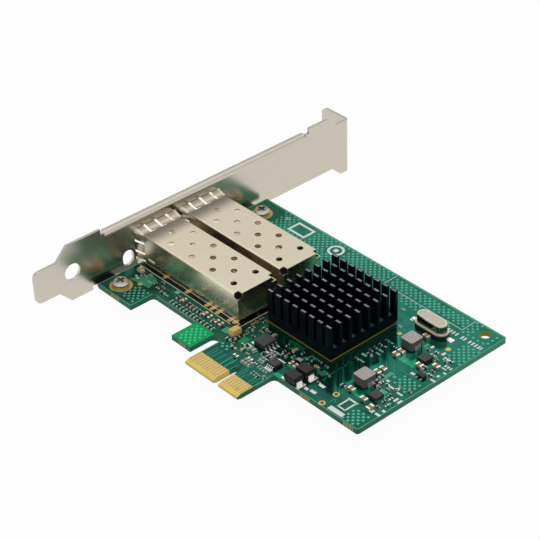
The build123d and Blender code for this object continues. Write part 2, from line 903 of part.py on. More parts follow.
def make_supervisor_leads():
    size = (supervisor_lead_pitch, supervisor_lead_width, supervisor_lead_reach)
    place = (controller_x + supervisor_place[0], supervisor_place[1])
    return lead_rows(place, supervisor_across, supervisor_height, *size, 90)


def make_diodes():
    low = board_top + diode_tab_thickness
    size = (diode_length, diode_width, diode_height)
    places = [(controller_x + x, y) for x, y in diode_places]
    return group(moulded_body(place, low, *size, diode_draft) for place in places)


def make_diode_tabs():
    tabs = []
    for middle_x, y in diode_places:
        for side in (-1, 1):
            x = controller_x + middle_x + side * diode_length / 2
            size = (diode_tab_width, diode_tab_thickness, diode_tab_rise)
            tabs.append(end_tab(x, y, side, diode_tab_reach, *size))
    return group(tabs)


def make_tantalum():
    low = board_top + tantalum_tab_thickness
    size = (tantalum_width, tantalum_length, tantalum_height)
    place = (board_left + tantalum_place[0], tantalum_place[1])
    return moulded_body(place, low, *size, tantalum_draft)


def make_tantalum_tabs():
    size = (tantalum_tab_reach, tantalum_tab_width, tantalum_tab_thickness, tantalum_tab_rise)
    tab = end_tab(tantalum_length / 2, 0, 1, *size)
    middle = Pos(board_left + tantalum_place[0], tantalum_place[1], 0)
    return group(middle * (Rot(0, 0, turn) * tab) for turn in (90, -90))


def make_light_body():
    high = board_top + light_height
    return slab(light_x, light_place[1], light_length, light_width, board_top, high)


def make_light_lens():
    """The moulded dome of the port light, behind the bracket's hole."""
    low = board_top + light_height
    lens = slab(light_x, light_place[1], light_length / 2, light_width, low, low + light_lens_height)
    return fillet(lens.edges().filter_by(Axis.Y).group_by(Axis.Z)[-1], light_lens_height / 2)


def chip_solids(size, places):
    """Bodies and metal ends of one size of chip part."""
    length, width, height = size
    cap = length * chip_end_share
    proud = chip_end_proud
    bodies, ends = [], []
    for x, y, along_y in places:
        turn = Pos(x, y, 0) * Rot(0, 0, 90 if along_y else 0)
        body = slab(0, 0, length - 2 * cap, width, board_top + proud, board_top + height)
        bodies.append(turn * body)
        for side in (-1, 1):
            middle = side * (length - cap) / 2
            high = board_top + height + proud
            ends.append(turn * slab(middle, 0, cap, width + 2 * proud, board_top, high))
    return bodies, ends


def from_line(line_x, places):
    """Places on the board, from a line across it and the insertion edge."""
    return [(line_x + x, y, along_y) for x, y, along_y in places]


def make_chip_parts():
    """Capacitor bodies, resistor bodies, and the metal ends of both."""
    medium_places = from_line(board_left, near_medium_chips) + from_line(controller_x, middle_medium_chips)
    resistor_places = from_line(board_left, near_resistors) + from_line(controller_x, middle_resistors)
    resistor_places += from_far_corner(far_resistors)
    large_bodies, large_ends = chip_solids(large_chip_size, from_far_corner(far_large_chips))
    medium_bodies, medium_ends = chip_solids(medium_chip_size, medium_places)
    resistor_bodies, resistor_ends = chip_solids(resistor_size, resistor_places)
    return {
        "capacitor_bodies": group(large_bodies + medium_bodies),
        "capacitor_ends": group(large_ends + medium_ends),
        "resistor_bodies": group(resistor_bodies),
        "resistor_ends": group(resistor_ends),
    }


def make_parts():
    parts = {
        "circuit_board": make_board(),
        "edge_contacts": make_edge_contacts(),
        "bracket": make_bracket(),
        "bracket_screws": group(make_screw(y) for y in screw_places_y),
        "controller_substrate": make_substrate(),
        "controller_cap": make_mould_cap(),
        "thermal_pad": make_thermal_pad(),
        "heat_sink": make_heat_sink(),
        "crystal_base": make_crystal_base(),
        "crystal_can": make_crystal_can(),
        "crystal_leads": make_crystal_leads(),
        "power_inductors": make_inductors(),
        "inductor_terminals": make_inductor_terminals(),
        "regulators": make_regulators(),
        "regulator_pads": make_regulator_pads(),
        "flash_chip": make_flash_chip(),
        "flash_leads": make_flash_leads(),
        "supervisor_chip": make_supervisor_chip(),
        "supervisor_leads": make_supervisor_leads(),
        "power_diodes": make_diodes(),
        "diode_tabs": make_diode_tabs(),
        "tantalum_capacitor": make_tantalum(),
        "tantalum_tabs": make_tantalum_tabs(),
        "port_light_body": make_light_body(),
        "port_light_lens": make_light_lens(),
    }
    for number, row in enumerate(cage_rows, start=1):
        parts[f"cage_{number}_shell"] = make_cage_shell(row)
        parts[f"cage_{number}_floor"] = make_cage_floor(row)
        parts[f"host_connector_{number}"] = make_host_connector(row)
        parts[f"host_contacts_{number}"] = make_host_contacts(row)
    parts.update(make_chip_parts())
    return parts


os.makedirs("parts", exist_ok=True)
for name, shape in make_parts().items():
    shape.label = name
    export_step(shape, f"parts/{name}.step")
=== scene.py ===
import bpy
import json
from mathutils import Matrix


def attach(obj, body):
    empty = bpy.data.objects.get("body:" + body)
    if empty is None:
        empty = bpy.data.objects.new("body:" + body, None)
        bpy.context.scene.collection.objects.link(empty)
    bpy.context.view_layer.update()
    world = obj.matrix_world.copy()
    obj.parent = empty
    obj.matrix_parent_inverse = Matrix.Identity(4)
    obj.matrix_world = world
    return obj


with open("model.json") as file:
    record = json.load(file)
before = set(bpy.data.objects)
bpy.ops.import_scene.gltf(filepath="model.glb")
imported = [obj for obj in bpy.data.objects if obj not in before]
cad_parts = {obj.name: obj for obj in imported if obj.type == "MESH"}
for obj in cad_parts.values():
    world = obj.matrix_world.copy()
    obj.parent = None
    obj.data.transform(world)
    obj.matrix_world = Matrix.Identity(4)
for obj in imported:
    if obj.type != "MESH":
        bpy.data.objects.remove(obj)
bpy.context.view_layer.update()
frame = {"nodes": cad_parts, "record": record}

import json
import math

import bmesh
import bpy
from mathutils import Matrix, Vector

print("frame loaded,", len(frame["nodes"]), "solids")

# Places on the board are given in millimetres: along the board from its bracket edge,
# then up from the insertion edge of the contacts.
board = {
    "keyToBracketEdge": 57.15,
    "top": 1.57,
    "inkLift": 0.012,
    "copperLift": 0.02,
    "lineOverrun": 0.7,
}


def place(edgeX, y, z=0.0):
    return Vector(((edgeX - board["keyToBracketEdge"]) / 1000, y / 1000, z / 1000))


# Shader helpers


def addNode(tree, kind, **settings):
    node = tree.nodes.new("ShaderNode" + kind)
    for key, value in settings.items():
        setattr(node, key, value)
    return node


def fill(tree, node, values):
    for key, value in values.items():
        if isinstance(value, bpy.types.NodeSocket):
            tree.links.new(value, node.inputs[key])
        else:
            node.inputs[key].default_value = value
    return node


def maths(tree, operation, *values, clamp=False):
    node = addNode(tree, "Math", operation=operation, use_clamp=clamp)
    fill(tree, node, dict(enumerate(values)))
    return node.outputs[0]


def between(tree, share, first, second):
    climb = maths(tree, "SUBTRACT", second, first)
    return maths(tree, "ADD", first, maths(tree, "MULTIPLY", share, climb))


def smoothRise(tree, value, low, high, atLow=0.0, atHigh=1.0):
    node = addNode(tree, "MapRange", interpolation_type="SMOOTHSTEP")
    fill(tree, node, {"Value": value, "From Min": low, "From Max": high,
                      "To Min": atLow, "To Max": atHigh})
    return node.outputs[0]


def scaleColour(tree, colour, share):
    node = addNode(tree, "VectorMath", operation="SCALE")
    return fill(tree, node, {0: colour, "Scale": share}).outputs[0]


def blendColours(tree, factor, first, second):
    node = addNode(tree, "Mix", data_type="RGBA")
    colours = [(*value, 1) if isinstance(value, tuple) else value for value in (first, second)]
    fill(tree, node, {0: factor, 6: colours[0], 7: colours[1]})
    return node.outputs[2]


def splitObject(tree):
    # the place on the solid, then its three coordinates
    spot = addNode(tree, "TexCoord").outputs["Object"]
    parts = fill(tree, addNode(tree, "SeparateXYZ"), {0: spot})
    return spot, *parts.outputs


def facingUp(tree):
    normal = addNode(tree, "NewGeometry").outputs["Normal"]
    return fill(tree, addNode(tree, "SeparateXYZ"), {0: normal}).outputs[2]


def addBump(tree, strength, distance, height):
    node = addNode(tree, "Bump")
    fill(tree, node, {"Strength": strength, "Distance": distance, "Height": height})
    return node.outputs["Normal"]


def newGroup(name, given, results):
    tree = bpy.data.node_groups.new(name, "ShaderNodeTree")
    for title, kind, value in given:
        tree.interface.new_socket(title, in_out="INPUT", socket_type=kind).default_value = value
    for title, kind in results:
        tree.interface.new_socket(title, in_out="OUTPUT", socket_type=kind)
    return tree, tree.nodes.new("NodeGroupInput"), tree.nodes.new("NodeGroupOutput")


def useGroup(tree, group, values):
    return fill(tree, addNode(tree, "Group", node_tree=group), values).outputs


def newMaterial(name):
    material = bpy.data.materials.new(name)
    material.use_nodes = True
    return material, material.node_tree, material.node_tree.nodes["Principled BSDF"]


surfacePlan = {
    "broadDetail": 3.0,
    "fineDetail": 5.0,
    "fineScale": 11.0,
    "fineShare": 0.5,
    "bumpStrength": 0.5,
    "upward": (0.25, 0.95),
}


def buildHandledSurface():
    # uneven tone, uneven gloss and a faint relief, as on any handled finish
    tree, given, result = newGroup(
        "handledSurface",
        [("Colour", "NodeSocketColor", (0.5, 0.5, 0.5, 1)),
         ("Roughness", "NodeSocketFloat", 0.4),
         ("Scale", "NodeSocketFloat", 400.0),
         ("Stretch", "NodeSocketVector", (1, 1, 1)),
         ("Tone Spread", "NodeSocketFloat", 0.1),
         ("Gloss Spread", "NodeSocketFloat", 0.1)],
        [("Colour", "NodeSocketColor"),
         ("Roughness", "NodeSocketFloat"),
         ("Height", "NodeSocketFloat")],
    )
    spot = addNode(tree, "TexCoord")
    stretched = addNode(tree, "VectorMath", operation="MULTIPLY")
    fill(tree, stretched, {0: spot.outputs["Object"], 1: given.outputs["Stretch"]})
    fineScale = maths(tree, "MULTIPLY", given.outputs["Scale"], surfacePlan["fineScale"])
    grains = []
    for scale, detail in ((given.outputs["Scale"], surfacePlan["broadDetail"]),
                          (fineScale, surfacePlan["fineDetail"])):
        grain = addNode(tree, "TexNoise")
        fill(tree, grain, {"Vector": stretched.outputs[0], "Scale": scale, "Detail": detail})
        grains.append(grain.outputs[0])
    broad, fine = (maths(tree, "SUBTRACT", grain, 0.5) for grain in grains)
    both = maths(tree, "ADD", broad, maths(tree, "MULTIPLY", fine, surfacePlan["fineShare"]))
    tone = maths(tree, "MULTIPLY", both, given.outputs["Tone Spread"])
    tint = scaleColour(tree, given.outputs["Colour"], maths(tree, "ADD", tone, 1.0))
    gloss = maths(tree, "MULTIPLY", both, given.outputs["Gloss Spread"])
    gloss = maths(tree, "ADD", gloss, given.outputs["Roughness"], clamp=True)
    fill(tree, result, {"Colour": tint, "Roughness": gloss, "Height": grains[1]})
    return tree


def buildPaintedSideShade():
    # painted shade by facing: full tone on faces that look up, another share of it on upright ones
    tree, given, result = newGroup(
        "paintedSideShade",
        [("Colour", "NodeSocketColor", (0.5, 0.5, 0.5, 1)),
         ("Side Shade Share", "NodeSocketFloat", 1.0)],
        [("Colour", "NodeSocketColor")],
    )
    rise = smoothRise(tree, facingUp(tree), *surfacePlan["upward"], given.outputs["Side Shade Share"])
    fill(tree, result, {"Colour": scaleColour(tree, given.outputs["Colour"], rise)})
    return tree


# spans along the card, in metres, for the cage's painted reflection, shade and glow: each rises
# or falls smoothly between two places
cagePaintedLightPlan = {
    "spans": (
        (-0.0572, -0.0557, 0.75, 0.0), (-0.0542, -0.0485, 0.0, 1.0), (-0.0552, -0.0232, 0.0, 1.0),
        (-0.056, -0.042, 1.0, 0.0),
    ),
    "middles": (0.0279, 0.04458),
    "innerHalf": 0.00682,
    "innerTop": 0.0109,
    # painted glow on the inner faces near the ports
    "glow": (0.46, 0.43, 0.35),
    "reflectionShadeShare": 0.36,
    "sideFront": 0.92,
    "sideRear": 1.68,
}


def buildCagePaintedLight():
    # painted reflection darkens the top just behind the fingers, painted shade on the upright
    # faces fades toward the rear, and the inner faces near the ports glow with painted light
    # standing in for the light that the ports let in
    tree, given, result = newGroup(
        "cagePaintedLight",
        [("Colour", "NodeSocketColor", (0.5, 0.5, 0.5, 1)),
         ("Reflection Shade Share", "NodeSocketFloat", 0.5),
         ("Side Front", "NodeSocketFloat", 0.8),
         ("Side Rear", "NodeSocketFloat", 1.4)],
        [("Colour", "NodeSocketColor"),
         ("Painted Port Light", "NodeSocketColor")],
    )
    along, across, height = splitObject(tree)[1:]
    rises = [smoothRise(tree, along, *span) for span in cagePaintedLightPlan["spans"]]
    lit = maths(tree, "MAXIMUM", rises[0], rises[1])
    upper = between(tree, lit, given.outputs["Reflection Shade Share"], 1.0)
    upright = between(tree, rises[2], given.outputs["Side Front"], given.outputs["Side Rear"])
    mask = smoothRise(tree, facingUp(tree), *surfacePlan["upward"])
    shade = scaleColour(tree, given.outputs["Colour"], between(tree, mask, upright, upper))
    near = []
    for middle in cagePaintedLightPlan["middles"]:
        offset = maths(tree, "ABSOLUTE", maths(tree, "SUBTRACT", across, middle))
        near.append(maths(tree, "LESS_THAN", offset, cagePaintedLightPlan["innerHalf"]))
    low = maths(tree, "LESS_THAN", height, cagePaintedLightPlan["innerTop"])
    inner = maths(tree, "MULTIPLY", maths(tree, "MAXIMUM", *near), low)
    glow = scaleColour(tree, cagePaintedLightPlan["glow"], maths(tree, "MULTIPLY", inner, rises[3]))
    fill(tree, result, {"Colour": shade, "Painted Port Light": glow})
    return tree


handledSurface = buildHandledSurface()
paintedSideShade = buildPaintedSideShade()
cagePaintedLight = buildCagePaintedLight()


def shadeInside(tree, colour, low, high, share):
    # painted shade: the colour, darker inside one box of the solid's own coordinates
    within = 1.0
    for output, start, end in zip(splitObject(tree)[1:], low, high):
        within = maths(tree, "MULTIPLY", within, maths(tree, "GREATER_THAN", output, start))
        within = maths(tree, "MULTIPLY", within, maths(tree, "LESS_THAN", output, end))
    dimmed = maths(tree, "SUBTRACT", 1.0, maths(tree, "MULTIPLY", within, 1 - share))
    return scaleColour(tree, colour, dimmed)


def finish(name, colour, roughness, metallic=0.0, scale=400.0, stretch=(1, 1, 1), tone=0.12,
           gloss=0.08, relief=0.000002, coat=0.0, specular=0.5, side=1.0, cage=False, gap=None):
    material, tree, shader = newMaterial(name)
    base = (*colour, 1)
    # painted shade by facing: upright faces take the side share of the colour
    if side != 1.0:
        base = useGroup(tree, paintedSideShade, {"Colour": base, "Side Shade Share": side})["Colour"]
    # painted reflection and shade on the cage metal, and a painted glow on its inner faces near
    # the ports
    if cage:
        toned = useGroup(tree, cagePaintedLight, {
            "Colour": base, "Reflection Shade Share": cagePaintedLightPlan["reflectionShadeShare"],
            "Side Front": cagePaintedLightPlan["sideFront"], "Side Rear": cagePaintedLightPlan["sideRear"]})
        base = toned["Colour"]
        fill(tree, shader, {"Emission Color": toned["Painted Port Light"], "Emission Strength": 1.0})
    # painted shade inside one box of the solid
    if gap:
        base = shadeInside(tree, base, *gap)
    surface = useGroup(tree, handledSurface, {
        "Colour": base, "Roughness": roughness, "Scale": scale, "Stretch": stretch,
        "Tone Spread": tone, "Gloss Spread": gloss})
    normal = addBump(tree, surfacePlan["bumpStrength"], relief, surface["Height"])
    fill(tree, shader, {
        "Metallic": metallic, "Coat Weight": coat, "Specular IOR Level": specular,
        "Base Color": surface["Colour"], "Roughness": surface["Roughness"], "Normal": normal})
    return material


def overCopper(name, colour, roughness, metallic, tone=0.12):
    # thin mask, through which bare copper shines
    return finish(name, colour, roughness, metallic=metallic, tone=tone, specular=0.1)


# Finishes: the board's own, with its places in metres, then one for each other slot and piece

boardLook = {
    "mask": (0.016, 0.180, 0.120),
    "pour": (0.011, 0.146, 0.096),
    # painted shade toward the contacts' edge: where it starts and ends, and the share at that edge
    "paintedNearShade": (0.010, 0.064, 0.56),
    "edge": (0.030, 0.16, 0.090),
    "bareLaminate": (0.45, 0.34, 0.088),
    "holeWall": (0.16, 0.15, 0.012),
    "copperGlow": 0.85,
    "roughness": 0.13,
    "specular": 0.1,
    "contactHeight": 0.0056,
    "tongueLeft": -0.0126,
    "tongueRight": 0.0086,
    "holePlace": (0.03515, 0.06565, 0.0),
    "holeReach": 0.0019,
    "flatShare": 0.95,
    "areaScale": 260.0,
    "areaSpread": 0.9,
    "bareShare": 0.42,
    "grainScale": 300.0,
    "toneSpread": 0.2,
    "glossSpread": 0.04,
    "bumpStrength": 0.3,
    "copperRise": 0.000006,
}


def makeBoardFinish():
    # green mask over copper, with bare laminate between the contacts and at the cut edges
    look = boardLook
    material, tree, shader = newMaterial("boardLaminate")
    spot, x, y = splitObject(tree)[:3]
    flat = maths(tree, "GREATER_THAN", maths(tree, "ABSOLUTE", facingUp(tree)), look["flatShare"])
    areas = addNode(tree, "TexVoronoi", distance="CHEBYCHEV")
    fill(tree, areas, {"Vector": spot, "Scale": look["areaScale"],
                       "Randomness": look["areaSpread"]})
    areaTone = fill(tree, addNode(tree, "SeparateColor"), {0: areas.outputs["Color"]})
    copper = maths(tree, "GREATER_THAN", areaTone.outputs[0], look["bareShare"])
    masked = blendColours(tree, copper, look["mask"], look["pour"])
    tongue = maths(tree, "MULTIPLY", maths(tree, "LESS_THAN", y, look["contactHeight"]),
                   maths(tree, "GREATER_THAN", x, look["tongueLeft"]))
    tongue = maths(tree, "MULTIPLY", tongue, maths(tree, "LESS_THAN", x, look["tongueRight"]))
    face = blendColours(tree, tongue, masked, look["bareLaminate"])
    cut = blendColours(tree, tongue, look["edge"], look["bareLaminate"])
    level = fill(tree, addNode(tree, "CombineXYZ"), {0: x, 1: y, 2: 0.0})
    reach = addNode(tree, "VectorMath", operation="DISTANCE")
    fill(tree, reach, {0: level.outputs[0], 1: look["holePlace"]})
    nearHole = maths(tree, "LESS_THAN", reach.outputs["Value"], look["holeReach"])
    cut = blendColours(tree, nearHole, cut, look["holeWall"])
    colour = blendColours(tree, flat, cut, face)
    # painted shade: the mask darker toward the contacts' edge
    tone = maths(tree, "MAXIMUM", smoothRise(tree, y, *look["paintedNearShade"]), tongue)
    surface = useGroup(tree, handledSurface, {
        "Colour": scaleColour(tree, colour, tone), "Roughness": look["roughness"],
        "Scale": look["grainScale"], "Stretch": (1, 1, 1),
        "Tone Spread": look["toneSpread"], "Gloss Spread": look["glossSpread"]})
    normal = addBump(tree, look["bumpStrength"], look["copperRise"], copper)
    fill(tree, shader, {
        "Base Color": surface["Colour"], "Roughness": surface["Roughness"], "Normal": normal,
        "Specular IOR Level": look["specular"], "Metallic": look["copperGlow"]})
    return material


finishes = {
    "board_laminate": makeBoardFinish(),
    "gold_plate": finish("goldPlate", (0.53, 0.39, 0.16), 0.34, metallic=1.0),
    # painted shade: the bracket darker on upward faces than upright ones, and in the gap under the
    # board
    "bracket_steel": finish("bracketSteel", (0.40, 0.37, 0.315), 0.25, metallic=1.0, scale=90.0,
                            stretch=(1, 1, 6), tone=0.05, gloss=0.05, relief=0.000001, side=1.45,
                            gap=((-0.0590, 0.0046, -0.0022), (-0.0588, 0.0205, 0.0016), 0.2)),
    "screw_steel": finish("screwSteel", (0.46, 0.43, 0.38), 0.24, metallic=1.0, tone=0.25),
    # painted reflection, painted shade and a painted glow near the ports
    "cage_metal": finish("cageNickel", (0.56, 0.505, 0.39), 0.27, metallic=1.0, scale=160.0,
                         tone=0.05, gloss=0.04, relief=0.0000008, cage=True),
    "connector_plastic": finish("connectorBlack", (0.010, 0.010, 0.011), 0.45, specular=0.2),
    "substrate_laminate": finish("substrateLaminate", (0.16, 0.14, 0.04), 0.4, specular=0.2),
    # painted shade: chip and diode mouldings darker on their upright faces
    "chip_moulding": finish("chipMoulding", (0.062, 0.062, 0.066), 0.5, tone=0.25,
                            specular=0.15, side=0.5),
    "diode_moulding": finish("diodeMoulding", (0.034, 0.033, 0.033), 0.45, tone=0.25,
                             specular=0.15, side=0.5),
    "thermal_filler": finish("thermalFiller", (0.4, 0.42, 0.45), 0.8),
    "black_anodised": finish("blackAnodised", (0.002, 0.0028, 0.006), 0.34, tone=0.3,
                             specular=0.085),
    # painted reflection: the can much darker on its upright faces than on its top
    "can_metal": finish("canNickel", (0.47, 0.435, 0.37), 0.16, metallic=1.0, tone=0.04,
                        gloss=0.03, relief=0.0000005, side=0.4),
    "tinned_metal": finish("tinnedMetal", (0.86, 0.84, 0.80), 0.36, metallic=1.0, tone=0.2),
    # painted shade: the inductors' upright faces much darker than their tops
    "pressed_powder": finish("pressedPowder", (0.42, 0.385, 0.365), 0.6, scale=900.0, tone=0.35,
                             specular=0.2, side=0.22),
    "capacitor_ceramic": finish("capacitorCeramic", (0.36, 0.22, 0.10), 0.42, tone=0.2,
                                specular=0.3),
    "resistor_ceramic": finish("resistorCeramic", (0.012, 0.014, 0.016), 0.35, specular=0.25),
    "tan_moulding": finish("tanMoulding", (0.66, 0.45, 0.17), 0.42, specular=0.25),
    "light_housing": finish("lightHousing", (0.62, 0.58, 0.44), 0.4),
    "light_lens": finish("lightLens", (0.62, 0.36, 0.17), 0.2, coat=0.4),
    "ink": finish("whiteInk", (0.72, 0.80, 0.76), 0.6, tone=0.1, specular=0.2),
    # dimmer white ink, painted shade where it lies beside the heat sink
    "faintInk": finish("dimmedInk", (0.20, 0.42, 0.35), 0.6, tone=0.1, specular=0.2),
    "via": overCopper("maskOverVia", (0.090, 0.40, 0.275), 0.25, 0.6, tone=0.15),
    "hookVia": overCopper("maskOverHookVia", (0.050, 0.52, 0.27), 0.3, 0.5, tone=0.15),
    "brightPatch": overCopper("thinMaskCopper", (0.008, 0.29, 0.145), 0.18, 0.7),
    "palePatch": overCopper("paleMask", (0.050, 0.32, 0.20), 0.2, 0.6),
    "trace": overCopper("maskOverTrace", (0.020, 0.215, 0.145), 0.16, 0.8),
    "brightTrace": overCopper("maskOverBrightTrace", (0.018, 0.31, 0.20), 0.18, 0.7),
    "hookPour": finish("hookPour", (0.0005, 0.29, 0.080), 0.25, metallic=0.6, specular=0.06),
    "edgeBand": overCopper("clearBand", (0.075, 0.33, 0.185), 0.35, 0.3, tone=0.2),
    "bareLaminate": finish("bareLaminate", (0.42, 0.34, 0.12), 0.6, specular=0.1),
    # painted shade: a near-black sheet under the cages and round the controller package
    "film": finish("cageShadeSheet", (0.0035, 0.0055, 0.0045), 0.45, specular=0.08),
    "paleCeramic": finish("paleCeramic", (0.13, 0.20, 0.17), 0.5, specular=0.3),
    "chipTin": finish("chipTin", (0.42, 0.44, 0.405), 0.5, metallic=0.8, tone=0.3),
    "terminalTin": finish("terminalTin", (0.60, 0.64, 0.59), 0.42, metallic=0.8, tone=0.8),
    # painted highlight: the pale colour of the cage corners and the crystal's rims
    "rimTin": finish("rimTin", (0.80, 0.74, 0.60), 0.5, metallic=0.2, tone=0.2),
    "cutAluminium": finish("cutAluminium", (0.19, 0.18, 0.215), 0.45, metallic=0.7, scale=260.0,
                           tone=0.9),
    # painted glints on the heat sink's base between the pins
    "dimAluminium": finish("dimAluminium", (0.10, 0.10, 0.12), 0.45, metallic=0.6, scale=260.0,
                           tone=0.6),
    # painted shade: the gold under the screw heads and in the centres of the pin pads
    "darkGold": finish("darkGold", (0.50, 0.30, 0.06), 0.4, metallic=1.0, tone=0.3),
    # painted shade in the bores of the vias
    "viaBore": finish("viaBore", (0.10, 0.045, 0.004), 0.6, specular=0.1),
    # the chips' first-lead marks, and painted shade on the crystal's base
    "recessMark": finish("recessMark", (0.030, 0.030, 0.032), 0.6, specular=0.1),
}
print("finishes made,", len(finishes))

# solids whose look differs from the rest of their slot
# the crystal's base takes painted shade
nodeLooks = {"inductor_terminals": "terminalTin", "crystal_base": "recessMark"}


def slotOf(node):
    for entry in frame["record"]["subparts"]:
        if entry["node"] == node:
            return entry["material_slot"]


def dressSolids():
    for name, solid in frame["nodes"].items():
        slot = slotOf(name)
        if slot in finishes:
            solid.data.materials.clear()
            solid.data.materials.append(finishes[nodeLooks.get(name, slot)])


dressSolids()
print("solids dressed")


# Mesh helpers


def newPiece(name, mesh, look=None, slot="board_laminate"):
    data = bpy.data.meshes.new(name)
    mesh.to_mesh(data)
    mesh.free()
    data.materials.append(finishes[look or slot])
    piece = bpy.data.objects.new(name, data)
    bpy.context.scene.collection.objects.link(piece)
    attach(piece, "root")


def joinLoops(mesh, first, second):
    for index in range(len(first)):
        after = (index + 1) % len(first)
        mesh.faces.new((first[index], first[after], second[after], second[index]))


def outlineOf(area):
    # an outline as it is, or the corners of a box given as left, low, right and high
    if isinstance(area[0], tuple):
        return area
    left, low, right, high = area
    return ((left, low), (right, low), (right, high), (left, high))


def circle(x, y, radius, sides):
    turns = [2 * math.pi * index / sides for index in range(sides)]
    return [(x + radius * math.cos(turn), y + radius * math.sin(turn)) for turn in turns]


def addPatch(mesh, corners, low, high):
    # a thin flat piece on the board: its outline in board places, then its two heights
    lower = [mesh.verts.new(place(x, y, low)) for x, y in corners]
    upper = [mesh.verts.new(place(x, y, high)) for x, y in corners]
    mesh.faces.new(upper)
    mesh.faces.new(lower[::-1])
    joinLoops(mesh, lower, upper)


def addPad(mesh, x, y, length, width, low, high, turn=0.0):
    c, s = math.cos(turn), math.sin(turn)
    outline = []
    for a, b in ((-1, -1), (1, -1), (1, 1), (-1, 1)):
        u, v = a * length / 2, b * width / 2
        outline.append((x + u * c - v * s, y + u * s + v * c))
    addPatch(mesh, outline, low, high)


def addPads(mesh, pads, high):
    for x, y, length, width in pads:
        addPad(mesh, x, y, length, width, top, high)


def addAlong(mesh, x, y, shift, length, width, low, high, alongY):
    # a pad that is shifted and laid either up the card or along it
    if alongY:
        addPad(mesh, x, y + shift, width, length, low, high)
    else:
        addPad(mesh, x + shift, y, length, width, low, high)


def addDisc(mesh, x, y, radius, low, high, sides):
    addPatch(mesh, circle(x, y, radius, sides), low, high)


def addBand(mesh, outer, inner, low, high):
    # a flat band between two outlines of as many points
    loops = []
    for outline, height in ((outer, low), (outer, high), (inner, high), (inner, low)):
        loops.append([mesh.verts.new(place(x, y, height)) for x, y in outline])
    for first, second in zip(loops, loops[1:] + loops[:1]):
        joinLoops(mesh, first, second)


def addRing(mesh, x, y, outer, inner, low, high, sides):
    addBand(mesh, circle(x, y, outer, sides), circle(x, y, inner, sides), low, high)


def addLine(mesh, points, width, low, high):
    overrun = width * board["lineOverrun"]
    for (x0, y0), (x1, y1) in zip(points, points[1:]):
        length = math.hypot(x1 - x0, y1 - y0)
        turn = math.atan2(y1 - y0, x1 - x0)
        addPad(mesh, (x0 + x1) / 2, (y0 + y1) / 2, length + overrun, width, low, high, turn)


top = board["top"]
inkTop = top + board["inkLift"]
copperTop = top + board["copperLift"]

# White ink: lines, small blocks and plain shapes

inkPlan = {
    "width": 0.17,
    "lines": (
        ((1.0, 19.3), (40.6, 19.3)), ((43.6, 20.4), (43.6, 52.6), (1.0, 52.6)),
        ((56.2, 68.2), (56.2, 63.0), (86.4, 62.8), (86.4, 68.2)),
    ),
    "rings": ((34.9, 64.6, 2.6, 0.75), (12.6, 66.2, 0.7, 0.25)),
    "ringSides": 28,
    "rows": (
        ((83.7, 84.7, 85.7, 86.8, 88.8, 89.8, 91.6, 92.7, 93.8, 94.9), 60.3, 0.5, 1.4),
        ((94.4, 95.3, 96.2), 48.1, 0.5, 1.0),
    ),
    "blocks": (
        (20.1, 66.8, 7.2, 0.75), (20.1, 62.5, 7.2, 0.75), (16.9, 64.65, 0.75, 3.6),
        (23.3, 64.65, 0.75, 3.6), (34.9, 64.6, 1.4, 1.4), (88.0, 14.35, 5.2, 1.5),
        (86.7, 18.2, 0.5, 4.0), (89.3, 18.2, 0.5, 4.0), (88.0, 20.3, 3.6, 0.6),
        (88.0, 16.2, 3.1, 0.4), (77.9, 18.8, 2.0, 1.0), (78.1, 15.5, 2.0, 1.0),
        (75.9, 15.1, 1.3, 0.9), (96.4, 23.1, 1.0, 0.8), (96.3, 21.0, 1.7, 0.8),
        (94.4, 21.0, 0.9, 1.3), (94.3, 31.0, 2.0, 0.6), (90.8, 31.4, 2.0, 0.6),
        (92.6, 32.2, 0.8, 1.9), (95.3, 28.6, 0.7, 1.7), (96.6, 28.7, 0.7, 1.7),
        (88.3, 32.7, 1.1, 0.7), (86.2, 51.5, 0.8, 1.2), (90.4, 51.5, 0.8, 1.4),
        (92.5, 50.4, 1.9, 0.8), (96.3, 41.2, 1.8, 0.6), (90.6, 39.5, 1.3, 0.9),
        (96.0, 43.5, 0.7, 0.9), (96.3, 45.6, 0.9, 0.6), (51.3, 16.9, 1.4, 0.5),
        (95.7, 60.3, 0.4, 1.4), (94.9, 46.9, 1.6, 0.4),
    ),
    "faintBlocks": (
        (77.5, 45.0, 0.9, 0.5), (77.4, 42.6, 0.9, 0.6), (77.8, 40.5, 1.8, 0.5),
        (78.2, 39.0, 1.6, 0.5), (76.0, 36.0, 1.8, 0.8), (77.4, 33.7, 2.0, 0.5),
        (88.3, 35.1, 0.9, 0.8), (95.3, 26.0, 0.7, 1.5), (73.6, 52.0, 1.4, 0.9),
        (68.7, 58.2, 1.5, 0.8), (19.0, 18.3, 1.4, 1.2), (9.4, 15.9, 1.6, 0.5),
        (46.2, 23.0, 1.2, 0.4), (64.2, 10.6, 0.5, 1.0), (92.8, 33.0, 0.5, 0.9),
        (18.2, 15.2, 1.0, 0.5),
    ),
}


def makeInk():
    mesh = bmesh.new()
    for line in inkPlan["lines"]:
        addLine(mesh, line, inkPlan["width"], top, inkTop)
    for x, y, outer, width in inkPlan["rings"]:
        addRing(mesh, x, y, outer, outer - width, top, inkTop, inkPlan["ringSides"])
    for spots, y, length, width in inkPlan["rows"]:
        addPads(mesh, [(x, y, length, width) for x in spots], inkTop)
    addPads(mesh, inkPlan["blocks"], inkTop)
    newPiece("boardInk", mesh, "ink")
    # dimmer ink, painted shade where it lies beside the heat sink
    faint = bmesh.new()
    addPads(faint, inkPlan["faintBlocks"], inkTop)
    newPiece("boardFaintInk", faint, "faintInk")


makeInk()

# Copper under the mask: dotted fields, the hook's pour, patches and traces

